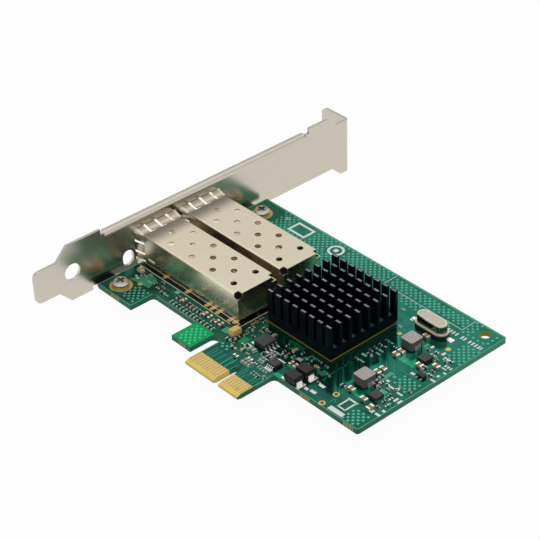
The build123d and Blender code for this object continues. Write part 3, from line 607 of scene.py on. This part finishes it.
copperPlan = {
    "dotRadius": 0.4,
    "dotPitch": (1.8, 0.93),
    "dotSides": 8,
    "fields": (
        (9.5, 61.2, 55.4, 68.2), (57.0, 63.7, 85.8, 67.6), (87.1, 61.9, 96.2, 68.2),
        (74.8, 61.2, 83.0, 62.4), (62.0, 60.0, 71.5, 62.4), (91.6, 50.8, 96.3, 59.3),
        (9.0, 5.6, 14.3, 12.8), (45.6, 10.3, 49.0, 13.0), (90.2, 13.8, 96.2, 18.6),
        (90.0, 31.6, 96.2, 37.2), (1.0, 53.4, 40.0, 60.8), (1.2, 56.0, 9.4, 58.2),
    ),
    "keepClear": (
        (15.8, 61.8, 24.4, 67.9), (31.8, 61.4, 38.0, 67.8), (90.0, 63.2, 94.8, 67.9),
        (0.0, 57.6, 10.4, 67.0), (89.8, 30.4, 93.6, 33.3), (85.0, 61.0, 96.3, 61.3),
        (85.0, 13.4, 90.6, 20.8), (93.0, 29.6, 95.6, 31.8),
    ),
    "hookField": (34.6, 4.9, 40.0, 12.9),
    "hookPour": (33.45, 4.5, 41.15, 13.3),
    "pourLift": 0.005,
    "patches": (
        (47.6, 15.6, 49.8, 18.6), (64.9, 18.0, 67.0, 19.2),
        ((65.0, 12.9), (68.0, 12.9), (67.6, 14.6), (65.6, 14.2)), (81.0, 33.2, 82.7, 36.1),
        (
            (85.2, 22.4), (88.4, 22.4), (88.6, 24.6), (88.4, 26.4), (86.8, 26.4), (86.4, 24.8),
            (85.2, 24.6),
        ),
        ((84.0, 41.2), (88.8, 41.2), (88.9, 41.8), (86.0, 46.0), (85.2, 46.6), (84.0, 45.2)),
        ((81.2, 24.0), (82.6, 24.0), (82.0, 26.4), (81.2, 26.4)),
        ((57.6, 25.4), (63.6, 25.4), (63.0, 26.5), (57.0, 26.5)),
    ),
    "patchLift": 0.006,
    "palePatches": (
        ((83.4, 41.2), (86.0, 41.2), (85.6, 43.0), (84.8, 45.8), (83.4, 44.8)),
        (86.1, 31.4, 87.3, 36.0), (89.4, 28.2, 91.8, 29.4), (92.0, 24.2, 92.9, 27.8),
        (87.4, 22.3, 89.4, 24.0), ((73.0, 21.6), (75.0, 21.6), (75.2, 23.8), (73.4, 24.0)),
        (55.0, 10.3, 59.2, 12.3), (57.9, 13.8, 60.2, 16.1), (52.4, 14.9, 54.8, 17.0),
        (60.4, 11.7, 64.2, 13.0), (60.8, 8.9, 63.6, 10.2), (41.0, 15.6, 43.2, 18.0),
        ((84.2, 50.0), (85.2, 50.0), (84.9, 51.9), (84.2, 51.9)),
        ((4.2, 12.8), (11.8, 13.8), (10.4, 18.0), (6.6, 18.6)), (66.4, 25.2, 69.0, 26.0),
        ((60.0, 23.4), (62.0, 23.4), (62.0, 24.6), (60.4, 24.6)),
        ((63.0, 20.8), (64.8, 20.8), (65.0, 22.4), (63.4, 22.4)),
        ((65.4, 22.9), (67.2, 22.9), (67.2, 24.4), (65.8, 24.4)),
    ),
    "paleLift": 0.009,
    "brightTraces": (
        ((74.9, 31.2), (75.8, 30.3), (75.8, 22.4), (76.5, 20.6)), ((76.4, 48.5), (79.8, 45.2)),
        ((52.0, 11.2), (52.3, 10.2), (52.3, 5.5)), ((53.9, 10.2), (53.9, 5.5)),
        ((58.0, 25.6), (60.0, 23.4)), ((60.0, 25.6), (61.4, 24.0)), ((66.3, 25.4), (67.8, 23.4)),
        ((82.9, 13.0), (82.9, 14.0)),
    ),
    "brightWidth": 0.42,
    "traces": (
        ((48.4, 10.0), (48.4, 5.5)), ((50.2, 9.6), (50.2, 5.5)), ((56.0, 9.0), (55.8, 5.5)),
        ((58.7, 10.0), (58.7, 5.5)), ((59.5, 9.4), (59.5, 5.5)),
        ((61.4, 8.4), (60.6, 7.6), (60.6, 5.5)), ((63.3, 8.4), (63.3, 5.5)),
        ((46.4, 10.0), (46.4, 5.5)), ((47.3, 9.6), (47.3, 5.5)), ((73.2, 36.4), (80.4, 29.2)),
        ((73.2, 33.8), (79.0, 28.0)), ((73.2, 31.0), (83.8, 20.4)), ((73.2, 28.6), (85.2, 16.6)),
        ((73.2, 42.6), (79.8, 36.0)), ((73.2, 45.0), (83.0, 35.2)),
        ((76.6, 26.6), (84.0, 19.2), (84.0, 16.0)), ((78.4, 42.0), (84.2, 36.2), (84.2, 34.0)),
        ((73.2, 39.6), (77.0, 35.8)), ((55.0, 26.2), (57.4, 23.8)), ((62.6, 25.6), (64.4, 23.8)),
        ((56.0, 17.0), (57.6, 15.4)), ((45.0, 26.0), (48.0, 26.0), (50.0, 24.0)),
        ((57.8, 21.8), (61.6, 21.8)), ((12.6, 17.2), (18.4, 17.2)), ((15.2, 14.0), (20.0, 14.0)),
        ((3.0, 56.0), (12.0, 56.0)), ((16.8, 18.4), (20.4, 16.4)), ((66.0, 10.6), (66.0, 6.4)),
        ((64.4, 9.6), (64.4, 5.6)), ((70.2, 63.0), (75.8, 57.4)), ((72.0, 52.4), (74.8, 49.6)),
        ((86.8, 38.4), (92.4, 38.4)), ((86.6, 55.4), (89.4, 52.6)), ((84.6, 38.6), (88.6, 34.6)),
        ((70.4, 22.0), (73.6, 25.4)),
    ),
    "width": 0.3,
    "traceLift": 0.007,
}


def inside(x, y, area):
    return area[0] <= x <= area[2] and area[1] <= y <= area[3]


def addDots(mesh, areas, radius, low, high, clear=()):
    wide, tall = copperPlan["dotPitch"]
    taken = set()
    for area in areas:
        for row in range(int(area[1] / tall), int(area[3] / tall) + 2):
            for column in range(int(area[0] / wide) - 1, int(area[2] / wide) + 2):
                x, y = (column + (row % 2) / 2) * wide, row * tall
                blocked = any(inside(x, y, zone) for zone in clear)
                if inside(x, y, area) and not blocked and (row, column) not in taken:
                    taken.add((row, column))
                    addDisc(mesh, x, y, radius, low, high, copperPlan["dotSides"])


def makeCopper():
    plan = copperPlan
    dots = bmesh.new()
    addDots(dots, plan["fields"], plan["dotRadius"], top, inkTop, plan["keepClear"])
    newPiece("boardDots", dots, "via")
    hook = bmesh.new()
    addPatch(hook, outlineOf(plan["hookPour"]), top, top + plan["pourLift"])
    newPiece("hookPour", hook, "hookPour")
    hookDots = bmesh.new()
    addDots(hookDots, [plan["hookField"]], plan["dotRadius"], top, inkTop)
    newPiece("hookDots", hookDots, "hookVia")
    for name, key, lift, look in (("boardPatches", "patches", "patchLift", "brightPatch"),
                                  ("palePatches", "palePatches", "paleLift", "palePatch")):
        mesh = bmesh.new()
        for area in plan[key]:
            addPatch(mesh, outlineOf(area), top, top + plan[lift])
        newPiece(name, mesh, look)
    for name, key, width, look in (("boardTraces", "traces", "width", "trace"),
                                   ("brightTraces", "brightTraces", "brightWidth", "brightTrace")):
        mesh = bmesh.new()
        for line in plan[key]:
            addLine(mesh, line, plan[width], top, top + plan["traceLift"])
        newPiece(name, mesh, look)


makeCopper()
print("ink and copper laid")

# The clear band round the board's border, the breakaway marks, a sheet of painted shade under the
# cages and the bright rims at the cages' feet

borderPlan = {
    "bands": (
        ((0.2, 4.92), (14.6, 4.92)), ((14.72, 5.0), (14.72, 12.6)), ((16.0, 13.1), (33.2, 13.1)),
        ((67.4, 13.18), (97.0, 13.18)), ((97.0, 13.2), (97.0, 68.2)), ((0.2, 5.1), (0.2, 68.5)),
        ((44.75, 5.8), (44.75, 12.0)), ((65.55, 5.8), (65.55, 12.2)), ((33.9, 4.65), (40.9, 4.65)),
    ),
    "bandWidth": 0.3,
    "farBand": ((0.5, 68.6), (96.7, 68.6), 0.56),
    "bandLift": 0.003,
    "breakaways": ((5.8, 9.8, 4.75), (36.2, 39.2, 4.45), (75.4, 79.4, 13.0), (91.8, 95.6, 13.0)),
    "markPitch": 0.55,
    "markWidth": 0.3,
    "markLow": 0.25,
    "markBelowTop": 0.15,
    "proud": 0.012,
    "film": (0.8, 19.45, 43.4, 52.4),
    "shadeSheetLift": 0.004,
    "rails": (20.9, 34.9, 37.58, 51.58),
    "railEnds": (1.4, 42.2),
    "railWidth": 0.06,
    "railHeight": 0.26,
}


def makeBorder():
    plan = borderPlan
    bandTop = top + plan["bandLift"]
    mesh = bmesh.new()
    for line in plan["bands"]:
        addLine(mesh, line, plan["bandWidth"], top, bandTop)
    start, end, width = plan["farBand"]
    addLine(mesh, (start, end), width, top, bandTop)
    newPiece("borderBand", mesh, "edgeBand")
    marks = bmesh.new()
    for low, high, y in plan["breakaways"]:
        count = round((high - low) / plan["markPitch"])
        for number in range(count):
            x = low + (number + 0.5) * (high - low) / count
            addPad(marks, x, y, plan["markWidth"], 2 * plan["proud"], plan["markLow"],
                   top - plan["markBelowTop"])
    newPiece("breakawayMarks", marks, "bareLaminate")
    # painted shade under the cages
    film = bmesh.new()
    addPatch(film, outlineOf(plan["film"]), top, top + plan["shadeSheetLift"])
    newPiece("cageShadeSheet", film, "film")
    rails = bmesh.new()
    low, high = plan["railEnds"]
    for number, y in enumerate(plan["rails"]):
        side = -1 if number % 2 == 0 else 1
        addPad(rails, (low + high) / 2, y + side * plan["railWidth"] / 2, high - low,
               plan["railWidth"], top, top + plan["railHeight"])
    newPiece("cageRims", rails, "tinned_metal", "cage_metal")


makeBorder()

# The bent corners of the cages, which close the gap between the top and the side fingers, pale
# with a painted highlight

cornerPlan = {
    "rows": (27.9, 44.58),
    "half": 7.0,
    "root": 1.5,
    "crest": -2.2,
    "rise": 0.72,
    "gap": 0.46,
    "top": 11.23,
    "wall": 0.22,
    "stations": (0.06, 0.35, 0.7, 1.0),
    "steps": 6,
}


def cornerOutline(edge, side, rise, inset):
    # from the top over the corner to the side, inset by the sheet's thickness on the inner face
    high, gap = cornerPlan["top"], cornerPlan["gap"]
    points = [(edge - side * gap, high + rise - inset)]
    for step in range(cornerPlan["steps"] + 1):
        angle = math.pi / 2 * step / cornerPlan["steps"]
        reach = rise - inset
        points.append((edge + side * reach * math.sin(angle), high + reach * math.cos(angle)))
    points.append((edge + side * (rise - inset), high - gap))
    return points


def makeCornerBends():
    mesh = bmesh.new()
    root, crest = cornerPlan["root"], cornerPlan["crest"]
    for row in cornerPlan["rows"]:
        for side in (-1, 1):
            edge = row + side * cornerPlan["half"]
            loops = []
            for share in cornerPlan["stations"]:
                x = root + (crest - root) * share
                rise = cornerPlan["rise"] * share
                outer = cornerOutline(edge, side, rise, 0.0)
                inner = cornerOutline(edge, side, rise, cornerPlan["wall"])
                loops.append([mesh.verts.new(place(x, y, z)) for y, z in outer + inner[::-1]])
            for first, second in zip(loops, loops[1:]):
                joinLoops(mesh, first, second)
            mesh.faces.new(loops[0])
            mesh.faces.new(loops[-1][::-1])
    bmesh.ops.recalc_face_normals(mesh, faces=mesh.faces)
    newPiece("cageCorners", mesh, "rimTin", "cage_metal")


makeCornerBends()

# Painted highlights on the rims of the crystal, round its flange and round its top: each has its
# length and width, how far it reaches inward, and its two heights

rimPlan = {
    "middle": (80.6, 57.1),
    "flange": (11.23, 4.73, 0.49, 2.55, 2.985),
    "top": (9.75, 3.35, 0.26, 5.3, 5.482),
    "steps": 12,
}


def oblong(x, y, length, width):
    points = []
    for side in (1, -1):
        for step in range(rimPlan["steps"] + 1):
            angle = -math.pi / 2 + math.pi * step / rimPlan["steps"]
            along = side * ((length - width) / 2 + width / 2 * math.cos(angle))
            points.append((x + along, y + side * width / 2 * math.sin(angle)))
    return points


def makeCrystalRims():
    mesh = bmesh.new()
    x, y = rimPlan["middle"]
    for key in ("flange", "top"):
        length, width, inset, low, high = rimPlan[key]
        outer = oblong(x, y, length, width)
        inner = oblong(x, y, length - 2 * inset, width - 2 * inset)
        addBand(mesh, outer, inner, low, high)
    newPiece("crystalRims", mesh, "rimTin", "can_metal")


makeCrystalRims()
print("border, cage corners and crystal rims made")

# Gold rings, dots and pads, with painted shade in the via bores, the pin pads and under the screws

goldPlan = {
    "screwRings": ((5.15, 9.0), (5.15, 62.2)),
    "screwRingRadii": (3.35, 2.75, 2.2),
    "screwRingSides": 48,
    "vias": ((83.0, 19.1), (83.0, 14.05)),
    "viaRadii": (0.94, 0.46),
    "viaSides": 24,
    "boreSides": 16,
    "boreLift": 0.01,
    "smallVias": ((44.9, 23.7), (44.9, 25.1), (43.0, 23.0), (43.0, 27.8)),
    "smallViaRadii": (0.62, 0.27),
    "dots": (
        (75.8, 49.4, 0.7), (89.8, 53.8, 0.78), (8.5, 13.3, 0.78), (42.4, 21.0, 0.5),
        (41.2, 24.6, 0.5),
    ),
    "padSides": 20,
    "pinPads": (
        (10.8, 20.5), (20.8, 20.4), (29.5, 20.3), (31.7, 20.3), (34.2, 20.2), (39.2, 20.3),
        (40.9, 20.6),
    ),
    "pinPadRadii": (0.7, 0.34),
    "pinSides": 12,
}


def makeGold():
    plan = goldPlan
    padSides, boreTop = plan["padSides"], top + plan["boreLift"]
    mesh, shaded, bores = bmesh.new(), bmesh.new(), bmesh.new()
    outer, middle, inner = plan["screwRingRadii"]
    for x, y in plan["screwRings"]:
        addRing(mesh, x, y, outer, middle, top, copperTop, plan["screwRingSides"])
        addRing(shaded, x, y, middle, inner, top, copperTop, plan["screwRingSides"])
    outer, inner = plan["viaRadii"]
    for x, y in plan["vias"]:
        addRing(mesh, x, y, outer, inner, top, copperTop, plan["viaSides"])
        addDisc(bores, x, y, inner, top, boreTop, plan["boreSides"])
    for x, y in plan["smallVias"]:
        addRing(mesh, x, y, *plan["smallViaRadii"], top, copperTop, padSides)
    for x, y, radius in plan["dots"]:
        addDisc(mesh, x, y, radius, top, copperTop, padSides)
    outer, inner = plan["pinPadRadii"]
    for x, y in plan["pinPads"]:
        addRing(mesh, x, y, outer, inner, top, copperTop, padSides)
        addDisc(shaded, x, y, inner, top, boreTop, plan["pinSides"])
    newPiece("boardGold", mesh, slot="gold_plate")
    newPiece("boardGoldShaded", shaded, "darkGold", "gold_plate")
    newPiece("viaBores", bores, "viaBore", "gold_plate")


makeGold()

# Very small chip parts: those in the rows beside the first cage, and the loose ones, listed
# by whether they lie up the card and by their size

chipPlan = {
    "rowStart": 21.3,
    "rowPitch": 1.49,
    "rowCount": 13,
    "rows": ((16.75, 1.3, 0.62, 0.4), (14.3, 1.25, 0.55, 0.3)),
    "darkEvery": 3,
    "taken": ((23.8, 1.0), (32.8, 1.0), (34.8, 1.0), (37.8, 1.0), (39.5, 1.0)),
    "capShare": 0.25,
    "capProud": 1.05,
    "padWide": 1.15,
    "padLong": 0.36,
    "sizes": {"small": (1.0, 0.5, 0.33), "middle": (1.6, 0.8, 0.42), "large": (2.0, 1.3, 0.6)},
    "dark": (
        (True, "small", (
            (46.5, 26.6), (44.9, 27.0), (47.4, 18.9), (50.8, 16.3), (63.5, 21.8), (66.8, 24.2),
            (64.3, 24.6), (61.2, 9.4), (62.3, 9.4), (63.3, 9.2), (88.8, 28.7), (92.8, 28.6),
            (94.2, 27.6), (93.6, 25.8), (91.1, 47.9), (5.4, 16.6), (56.8, 16.9), (65.2, 10.0),
            (68.4, 24.4), (48.0, 13.9), (58.9, 24.0),
        )),
        (False, "middle", (
            (46.6, 21.6), (49.2, 24.5), (45.7, 14.3), (49.5, 12.9), (59.3, 17.0), (61.5, 20.2),
            (77.0, 37.0), (86.9, 30.4), (87.5, 29.0), (16.5, 15.1), (81.9, 22.8),
        )),
        (False, "small", (
            (46.8, 20.2), (49.4, 23.0), (49.5, 20.1), (75.9, 44.8), (75.9, 42.2), (75.9, 40.3),
            (75.9, 38.6), (75.8, 33.4), (94.3, 23.2), (75.9, 23.0), (93.3, 49.2), (93.8, 44.0),
            (94.8, 42.4), (86.4, 49.8), (12.7, 18.3), (14.6, 16.8), (95.6, 33.4), (70.2, 25.4),
            (72.9, 25.2), (93.0, 41.9),
        )),
        (True, "middle", ((46.9, 16.4), (86.0, 32.5), (91.2, 43.2))),
    ),
    "cream": (
        (True, "middle", ((53.2, 24.2), (51.8, 14.4), (61.9, 24.0))),
        (False, "small", ((90.9, 30.1), (88.9, 50.6), (7.4, 18.1), (54.2, 13.7), (91.0, 27.9))),
    ),
    "pale": (
        (False, "large", ((53.7, 15.9),)),
        (True, "small", ((60.5, 12.3), (61.6, 12.3), (62.7, 12.3), (63.7, 12.3))),
        (True, "middle", (
            (55.8, 11.2), (57.0, 11.2), (58.2, 11.2), (58.7, 18.9), (59.9, 18.9), (58.6, 15.0),
            (59.7, 15.0),
        )),
        (False, "middle", ((89.1, 48.8),)),
    ),
    "threeLead": (93.1, 40.2, 2.4, 1.3, 0.85),
    "threeLeadLift": 0.08,
    "leads": ((-0.75, -1), (0.75, -1), (0.0, 1)),
    "leadSize": (0.42, 0.75, 0.16),
    "leadReach": 0.35,
}


def addChip(bodies, ends, pads, x, y, length, width, height, alongY):
    cap, proud = length * chipPlan["capShare"], chipPlan["capProud"]
    addAlong(bodies, x, y, 0, length - 2 * cap, width, top, top + height, alongY)
    for side in (-1, 1):
        addAlong(ends, x, y, side * (length - cap) / 2, cap, width * proud,
                 top, top + height * proud, alongY)
        addAlong(pads, x, y, side * length / 2, length * chipPlan["padLong"],
                 width * chipPlan["padWide"], top, copperTop, alongY)


def addThreeLead(bodies, ends):
    # the one small part that stands on three leads
    x, y, length, width, height = chipPlan["threeLead"]
    addPad(bodies, x, y, length, width, top + chipPlan["threeLeadLift"], top + height)
    leadWidth, leadLength, leadHeight = chipPlan["leadSize"]
    for shift, side in chipPlan["leads"]:
        leadY = y + side * width / 2 + side * chipPlan["leadReach"]
        addPad(ends, x + shift, leadY, leadWidth, leadLength, top, top + leadHeight)


def makeChips():
    ends, pads = bmesh.new(), bmesh.new()
    bodies = {kind: bmesh.new() for kind in ("dark", "cream", "pale")}
    for column in range(chipPlan["rowCount"]):
        x = chipPlan["rowStart"] + column * chipPlan["rowPitch"]
        for number, (y, length, width, height) in enumerate(chipPlan["rows"]):
            covered = any(abs(x - spot) < reach for spot, reach in chipPlan["taken"])
            if number > 0 or not covered:
                kind = "pale" if (column + number) % chipPlan["darkEvery"] else "dark"
                addChip(bodies[kind], ends, pads, x, y, length, width, height, True)
    for kind, mesh in bodies.items():
        for alongY, size, spots in chipPlan[kind]:
            for x, y in spots:
                addChip(mesh, ends, pads, x, y, *chipPlan["sizes"][size], alongY)
    addThreeLead(bodies["dark"], ends)
    newPiece("smallChipBodies", bodies["dark"], slot="resistor_ceramic")
    newPiece("creamChipBodies", bodies["cream"], slot="capacitor_ceramic")
    newPiece("paleChipBodies", bodies["pale"], "paleCeramic", "resistor_ceramic")
    newPiece("smallChipEnds", ends, "chipTin", "tinned_metal")
    newPiece("smallChipPads", pads, "chipTin", "tinned_metal")


makeChips()

# Solder pads under the parts that the solids carry

padPlan = {
    "leadPads": (
        ((51.6, 20.1), 4, 1.27, 1.5, 0.62, True), ((57.0, 20.1), 4, 1.27, 1.5, 0.62, True),
        ((62.8, 13.7), 4, 0.65, 1.2, 0.4, False), ((62.8, 18.1), 4, 0.65, 1.2, 0.4, False),
    ),
    "blocks": (
        (68.6, 14.9, 1.6, 2.8), (74.0, 14.7, 1.5, 3.0), (68.7, 19.0, 1.6, 2.6),
        (74.1, 19.0, 1.5, 2.8), (73.7, 57.0, 1.0, 1.8), (87.5, 57.2, 1.6, 1.6),
        (65.6, 22.3, 1.7, 1.2), (4.5, 15.1, 0.8, 0.6), (5.6, 14.6, 0.8, 0.6),
    ),
}


def makePads():
    mesh = bmesh.new()
    for (x, y), count, pitch, length, width, alongY in padPlan["leadPads"]:
        for number in range(count):
            shift = (number - (count - 1) / 2) * pitch
            addAlong(mesh, x, y, shift, width, length, top, copperTop, alongY)
    addPads(mesh, padPlan["blocks"], copperTop)
    newPiece("boardPads", mesh, slot="tinned_metal")


makePads()
print("gold, small chips and pads placed")

# Bright sheared ends on the pins of the heat sink, painted glints on its base, painted shade round
# the border of the controller package and the first-lead marks on the chips

sinkPlan = {
    "first": (48.465, 27.575),
    "pitch": (3.2714, 3.4357),
    "count": 8,
    "top": 12.7,
    "length": 1.6,
    "width": 0.54,
    "baseTop": 5.5,
    "glint": (71.4, 1.5, 1.1),
    "middle": (59.915, 39.6),
    "capSide": 19.2,
    "packageSide": 24.8,
    "packageTop": 2.38,
    "marks": (
        (52.6, 21.9, 3.19, 0.28), (61.8, 16.9, 2.64, 0.2), (89.8, 26.7, 2.42, 0.2),
        (87.7, 47.0, 2.42, 0.2),
    ),
    "tipLift": 0.01,
    "shadeLift": 0.012,
    "markLift": 0.008,
    "markSides": 14,
}


def makeTips():
    plan = sinkPlan
    (firstX, firstY), (pitchX, pitchY) = plan["first"], plan["pitch"]
    mesh = bmesh.new()
    for column in range(plan["count"]):
        for row in range(plan["count"]):
            addPad(mesh, firstX + column * pitchX, firstY + row * pitchY, plan["length"],
                   plan["width"], plan["top"], plan["top"] + plan["tipLift"])
    newPiece("pinEnds", mesh, "cutAluminium", "black_anodised")
    # painted glints on the base between the pin rows
    glints = bmesh.new()
    x, length, width = plan["glint"]
    for row in range(plan["count"] - 1):
        addPad(glints, x, firstY + (row + 0.5) * pitchY, length, width, plan["baseTop"],
               plan["baseTop"] + plan["tipLift"])
    newPiece("sinkGlints", glints, "dimAluminium", "black_anodised")
    x, y = plan["middle"]
    inner, outer = plan["capSide"] / 2, plan["packageSide"] / 2
    # painted shade round the border of the controller package
    shade = bmesh.new()
    low, width = plan["packageTop"], outer - inner
    for side in (-1, 1):
        shift = side * (inner + outer) / 2
        addPad(shade, x, y + shift, 2 * outer, width, low, low + plan["shadeLift"])
        addPad(shade, x + shift, y, width, 2 * inner, low, low + plan["shadeLift"])
    newPiece("packageBorderShade", shade, "film", "substrate_laminate")
    marks = bmesh.new()
    for x, y, height, radius in plan["marks"]:
        addDisc(marks, x, y, radius, height, height + plan["markLift"], plan["markSides"])
    newPiece("firstLeadMarks", marks, "recessMark", "chip_moulding")


makeTips()

# Solder side: rings round the ends of the press-fit pins, dots, chip pads and a plain frame

solderSide = {
    "pins": (10.8, 20.8, 40.2),
    "rows": (21.0, 34.8, 37.7, 51.5),
    "fields": (
        (9.2, 5.8, 13.8, 12.4), (34.6, 5.2, 40.4, 12.6), (50.0, 56.0, 90.0, 67.6),
        (47.0, 28.0, 72.0, 52.0),
    ),
    "chips": (
        (52.0, 33.0), (52.0, 37.0), (56.0, 45.0), (60.0, 33.0), (64.0, 45.0), (68.0, 37.0),
        (68.0, 41.0),
    ),
    "ink": ((46.6, 26.6), (73.0, 26.6), (73.0, 52.6), (46.6, 52.6), (46.6, 26.6)),
    "padLow": -0.02,
    "inkLow": -0.012,
    "pinRadii": (0.95, 0.62),
    "ringSides": 20,
    "dotRadius": 0.34,
    "inkWidth": 0.17,
    "chipPads": (0.5, 0.6, 0.5),
}


def makeSolderSide():
    plan = solderSide
    gold, dots, ink = bmesh.new(), bmesh.new(), bmesh.new()
    for x in plan["pins"]:
        for y in plan["rows"]:
            addRing(gold, x, y, *plan["pinRadii"], plan["padLow"], 0.0, plan["ringSides"])
    addDots(dots, plan["fields"], plan["dotRadius"], plan["inkLow"], 0.0)
    addLine(ink, plan["ink"], plan["inkWidth"], plan["inkLow"], 0.0)
    shift, length, width = plan["chipPads"]
    for x, y in plan["chips"]:
        for side in (-1, 1):
            addPad(gold, x, y + side * shift, length, width, plan["padLow"], 0.0)
    newPiece("solderSideGold", gold, slot="gold_plate")
    newPiece("solderSideDots", dots, "via")
    newPiece("solderSideInk", ink, "ink")


makeSolderSide()

# Solder balls under the controller, in the rows that show at its border

ballPlan = {
    "middle": (59.9, 39.6),
    "pitch": 1.27,
    "count": 19,
    "radius": 0.33,
    "rows": 3,
    "lift": 0.125,
    "flatness": 0.37,
}


def makeBalls():
    mesh = bmesh.new()
    last = ballPlan["count"] - 1
    middleX, middleY = ballPlan["middle"]
    flatten = Matrix.Scale(ballPlan["flatness"], 4, (0, 0, 1))
    for column in range(ballPlan["count"]):
        for row in range(ballPlan["count"]):
            if min(column, row, last - column, last - row) >= ballPlan["rows"]:
                continue
            x = middleX + (column - last / 2) * ballPlan["pitch"]
            y = middleY + (row - last / 2) * ballPlan["pitch"]
            spot = Matrix.Translation(place(x, y, top + ballPlan["lift"])) @ flatten
            bmesh.ops.create_icosphere(mesh, subdivisions=1, radius=ballPlan["radius"] / 1000,
                                       matrix=spot)
    newPiece("solderBalls", mesh, slot="tinned_metal")


makeBalls()
print("board dressed")

# Studio

studio = {
    "floorHeight": -0.0047,
    "floorSize": 3.0,
    "floorColour": (0.9, 0.9, 0.9, 1),
    "floorRoughness": 0.9,
    "floorSpecular": 0.1,
    "floorGlow": 0.95,
    "world": 0.6,
    "aim": (0, 0.04, 0),
    "keyPower": 11.0,
    "keySize": 2.4,
    "keyPlace": (-0.3, 0.3, 1.6),
    "fillPower": 1.2,
    "fillSize": 1.4,
    "fillPlace": (0.9, -0.9, 0.9),
}


def seenRays(tree):
    # 1 for what is seen straight, by reflection or through a clear piece, else 0
    rays = addNode(tree, "LightPath").outputs
    seen = maths(tree, "ADD", rays["Is Camera Ray"], rays["Is Glossy Ray"], clamp=True)
    return maths(tree, "ADD", seen, rays["Is Transmission Ray"], clamp=True)


def makeFloor():
    mesh = bmesh.new()
    bmesh.ops.create_grid(mesh, x_segments=4, y_segments=4, size=studio["floorSize"])
    data = bpy.data.meshes.new("studioFloor")
    mesh.to_mesh(data)
    mesh.free()
    floor = bpy.data.objects.new("studioFloor", data)
    floor.location = (0, 0, studio["floorHeight"])
    bpy.context.scene.collection.objects.link(floor)
    material, tree, shader = newMaterial("paleFloor")
    fill(tree, shader, {"Base Color": studio["floorColour"], "Roughness": studio["floorRoughness"],
                        "Specular IOR Level": studio["floorSpecular"]})
    glow = addNode(tree, "Emission")
    fill(tree, glow, {"Color": (1, 1, 1, 1), "Strength": 1.0})
    share = maths(tree, "MULTIPLY", seenRays(tree), studio["floorGlow"])
    mix = addNode(tree, "MixShader")
    fill(tree, mix, {0: share, 1: shader.outputs[0], 2: glow.outputs[0]})
    tree.links.new(mix.outputs[0], tree.nodes["Material Output"].inputs["Surface"])
    data.materials.append(material)


def makeWorld():
    world = bpy.data.worlds.new("studioWorld")
    bpy.context.scene.world = world
    world.use_nodes = True
    tree = world.node_tree
    seen = maths(tree, "MULTIPLY", seenRays(tree), 1.0 - studio["world"])
    strength = maths(tree, "ADD", seen, studio["world"])
    fill(tree, tree.nodes["Background"], {"Color": (1, 1, 1, 1), "Strength": strength})


def makeLamp(name, power, size, spot):
    light = bpy.data.lights.new(name, "AREA")
    light.energy = power
    light.size = size
    lamp = bpy.data.objects.new(name, light)
    lamp.location = spot
    toAim = Vector(studio["aim"]) - Vector(spot)
    lamp.rotation_euler = toAim.to_track_quat("-Z", "Y").to_euler()
    bpy.context.scene.collection.objects.link(lamp)


makeFloor()
makeWorld()
makeLamp("keyLamp", studio["keyPower"], studio["keySize"], studio["keyPlace"])
makeLamp("fillLamp", studio["fillPower"], studio["fillSize"], studio["fillPlace"])

# Camera, set where the photograph was taken from

cameraPlan = {
    "azimuth": 49.3982,
    "elevation": 35.4038,
    "roll": -2.0159,
    "distance": 0.493904,
    "target": (-0.01715, 0.035, 0.005),
    "lens": 118.615,
    "shift": (-0.0021, 0.0363),
    "sensor": 36.0,
    "clipStart": 0.01,
}


def makeCamera():
    data = bpy.data.cameras.new("shotCamera")
    data.sensor_width = cameraPlan["sensor"]
    data.lens = cameraPlan["lens"]
    data.shift_x, data.shift_y = cameraPlan["shift"]
    data.clip_start = cameraPlan["clipStart"]
    camera = bpy.data.objects.new("shotCamera", data)
    turn, rise = math.radians(cameraPlan["azimuth"]), math.radians(cameraPlan["elevation"])
    roll = math.radians(cameraPlan["roll"])
    level = math.cos(rise)
    back = Vector((math.sin(turn) * level, -math.cos(turn) * level, math.sin(rise)))
    right = Vector((math.cos(turn), math.sin(turn), 0))
    up = back.cross(right)
    rolledRight = math.cos(roll) * right + math.sin(roll) * up
    rolledUp = math.cos(roll) * up - math.sin(roll) * right
    axes = Matrix((rolledRight, rolledUp, back)).transposed().to_4x4()
    spot = Vector(cameraPlan["target"]) + back * cameraPlan["distance"]
    camera.matrix_world = Matrix.Translation(spot) @ axes
    bpy.context.scene.collection.objects.link(camera)
    bpy.context.scene.camera = camera


makeCamera()
bpy.context.scene.view_settings.view_transform = "Standard"
print("studio ready")
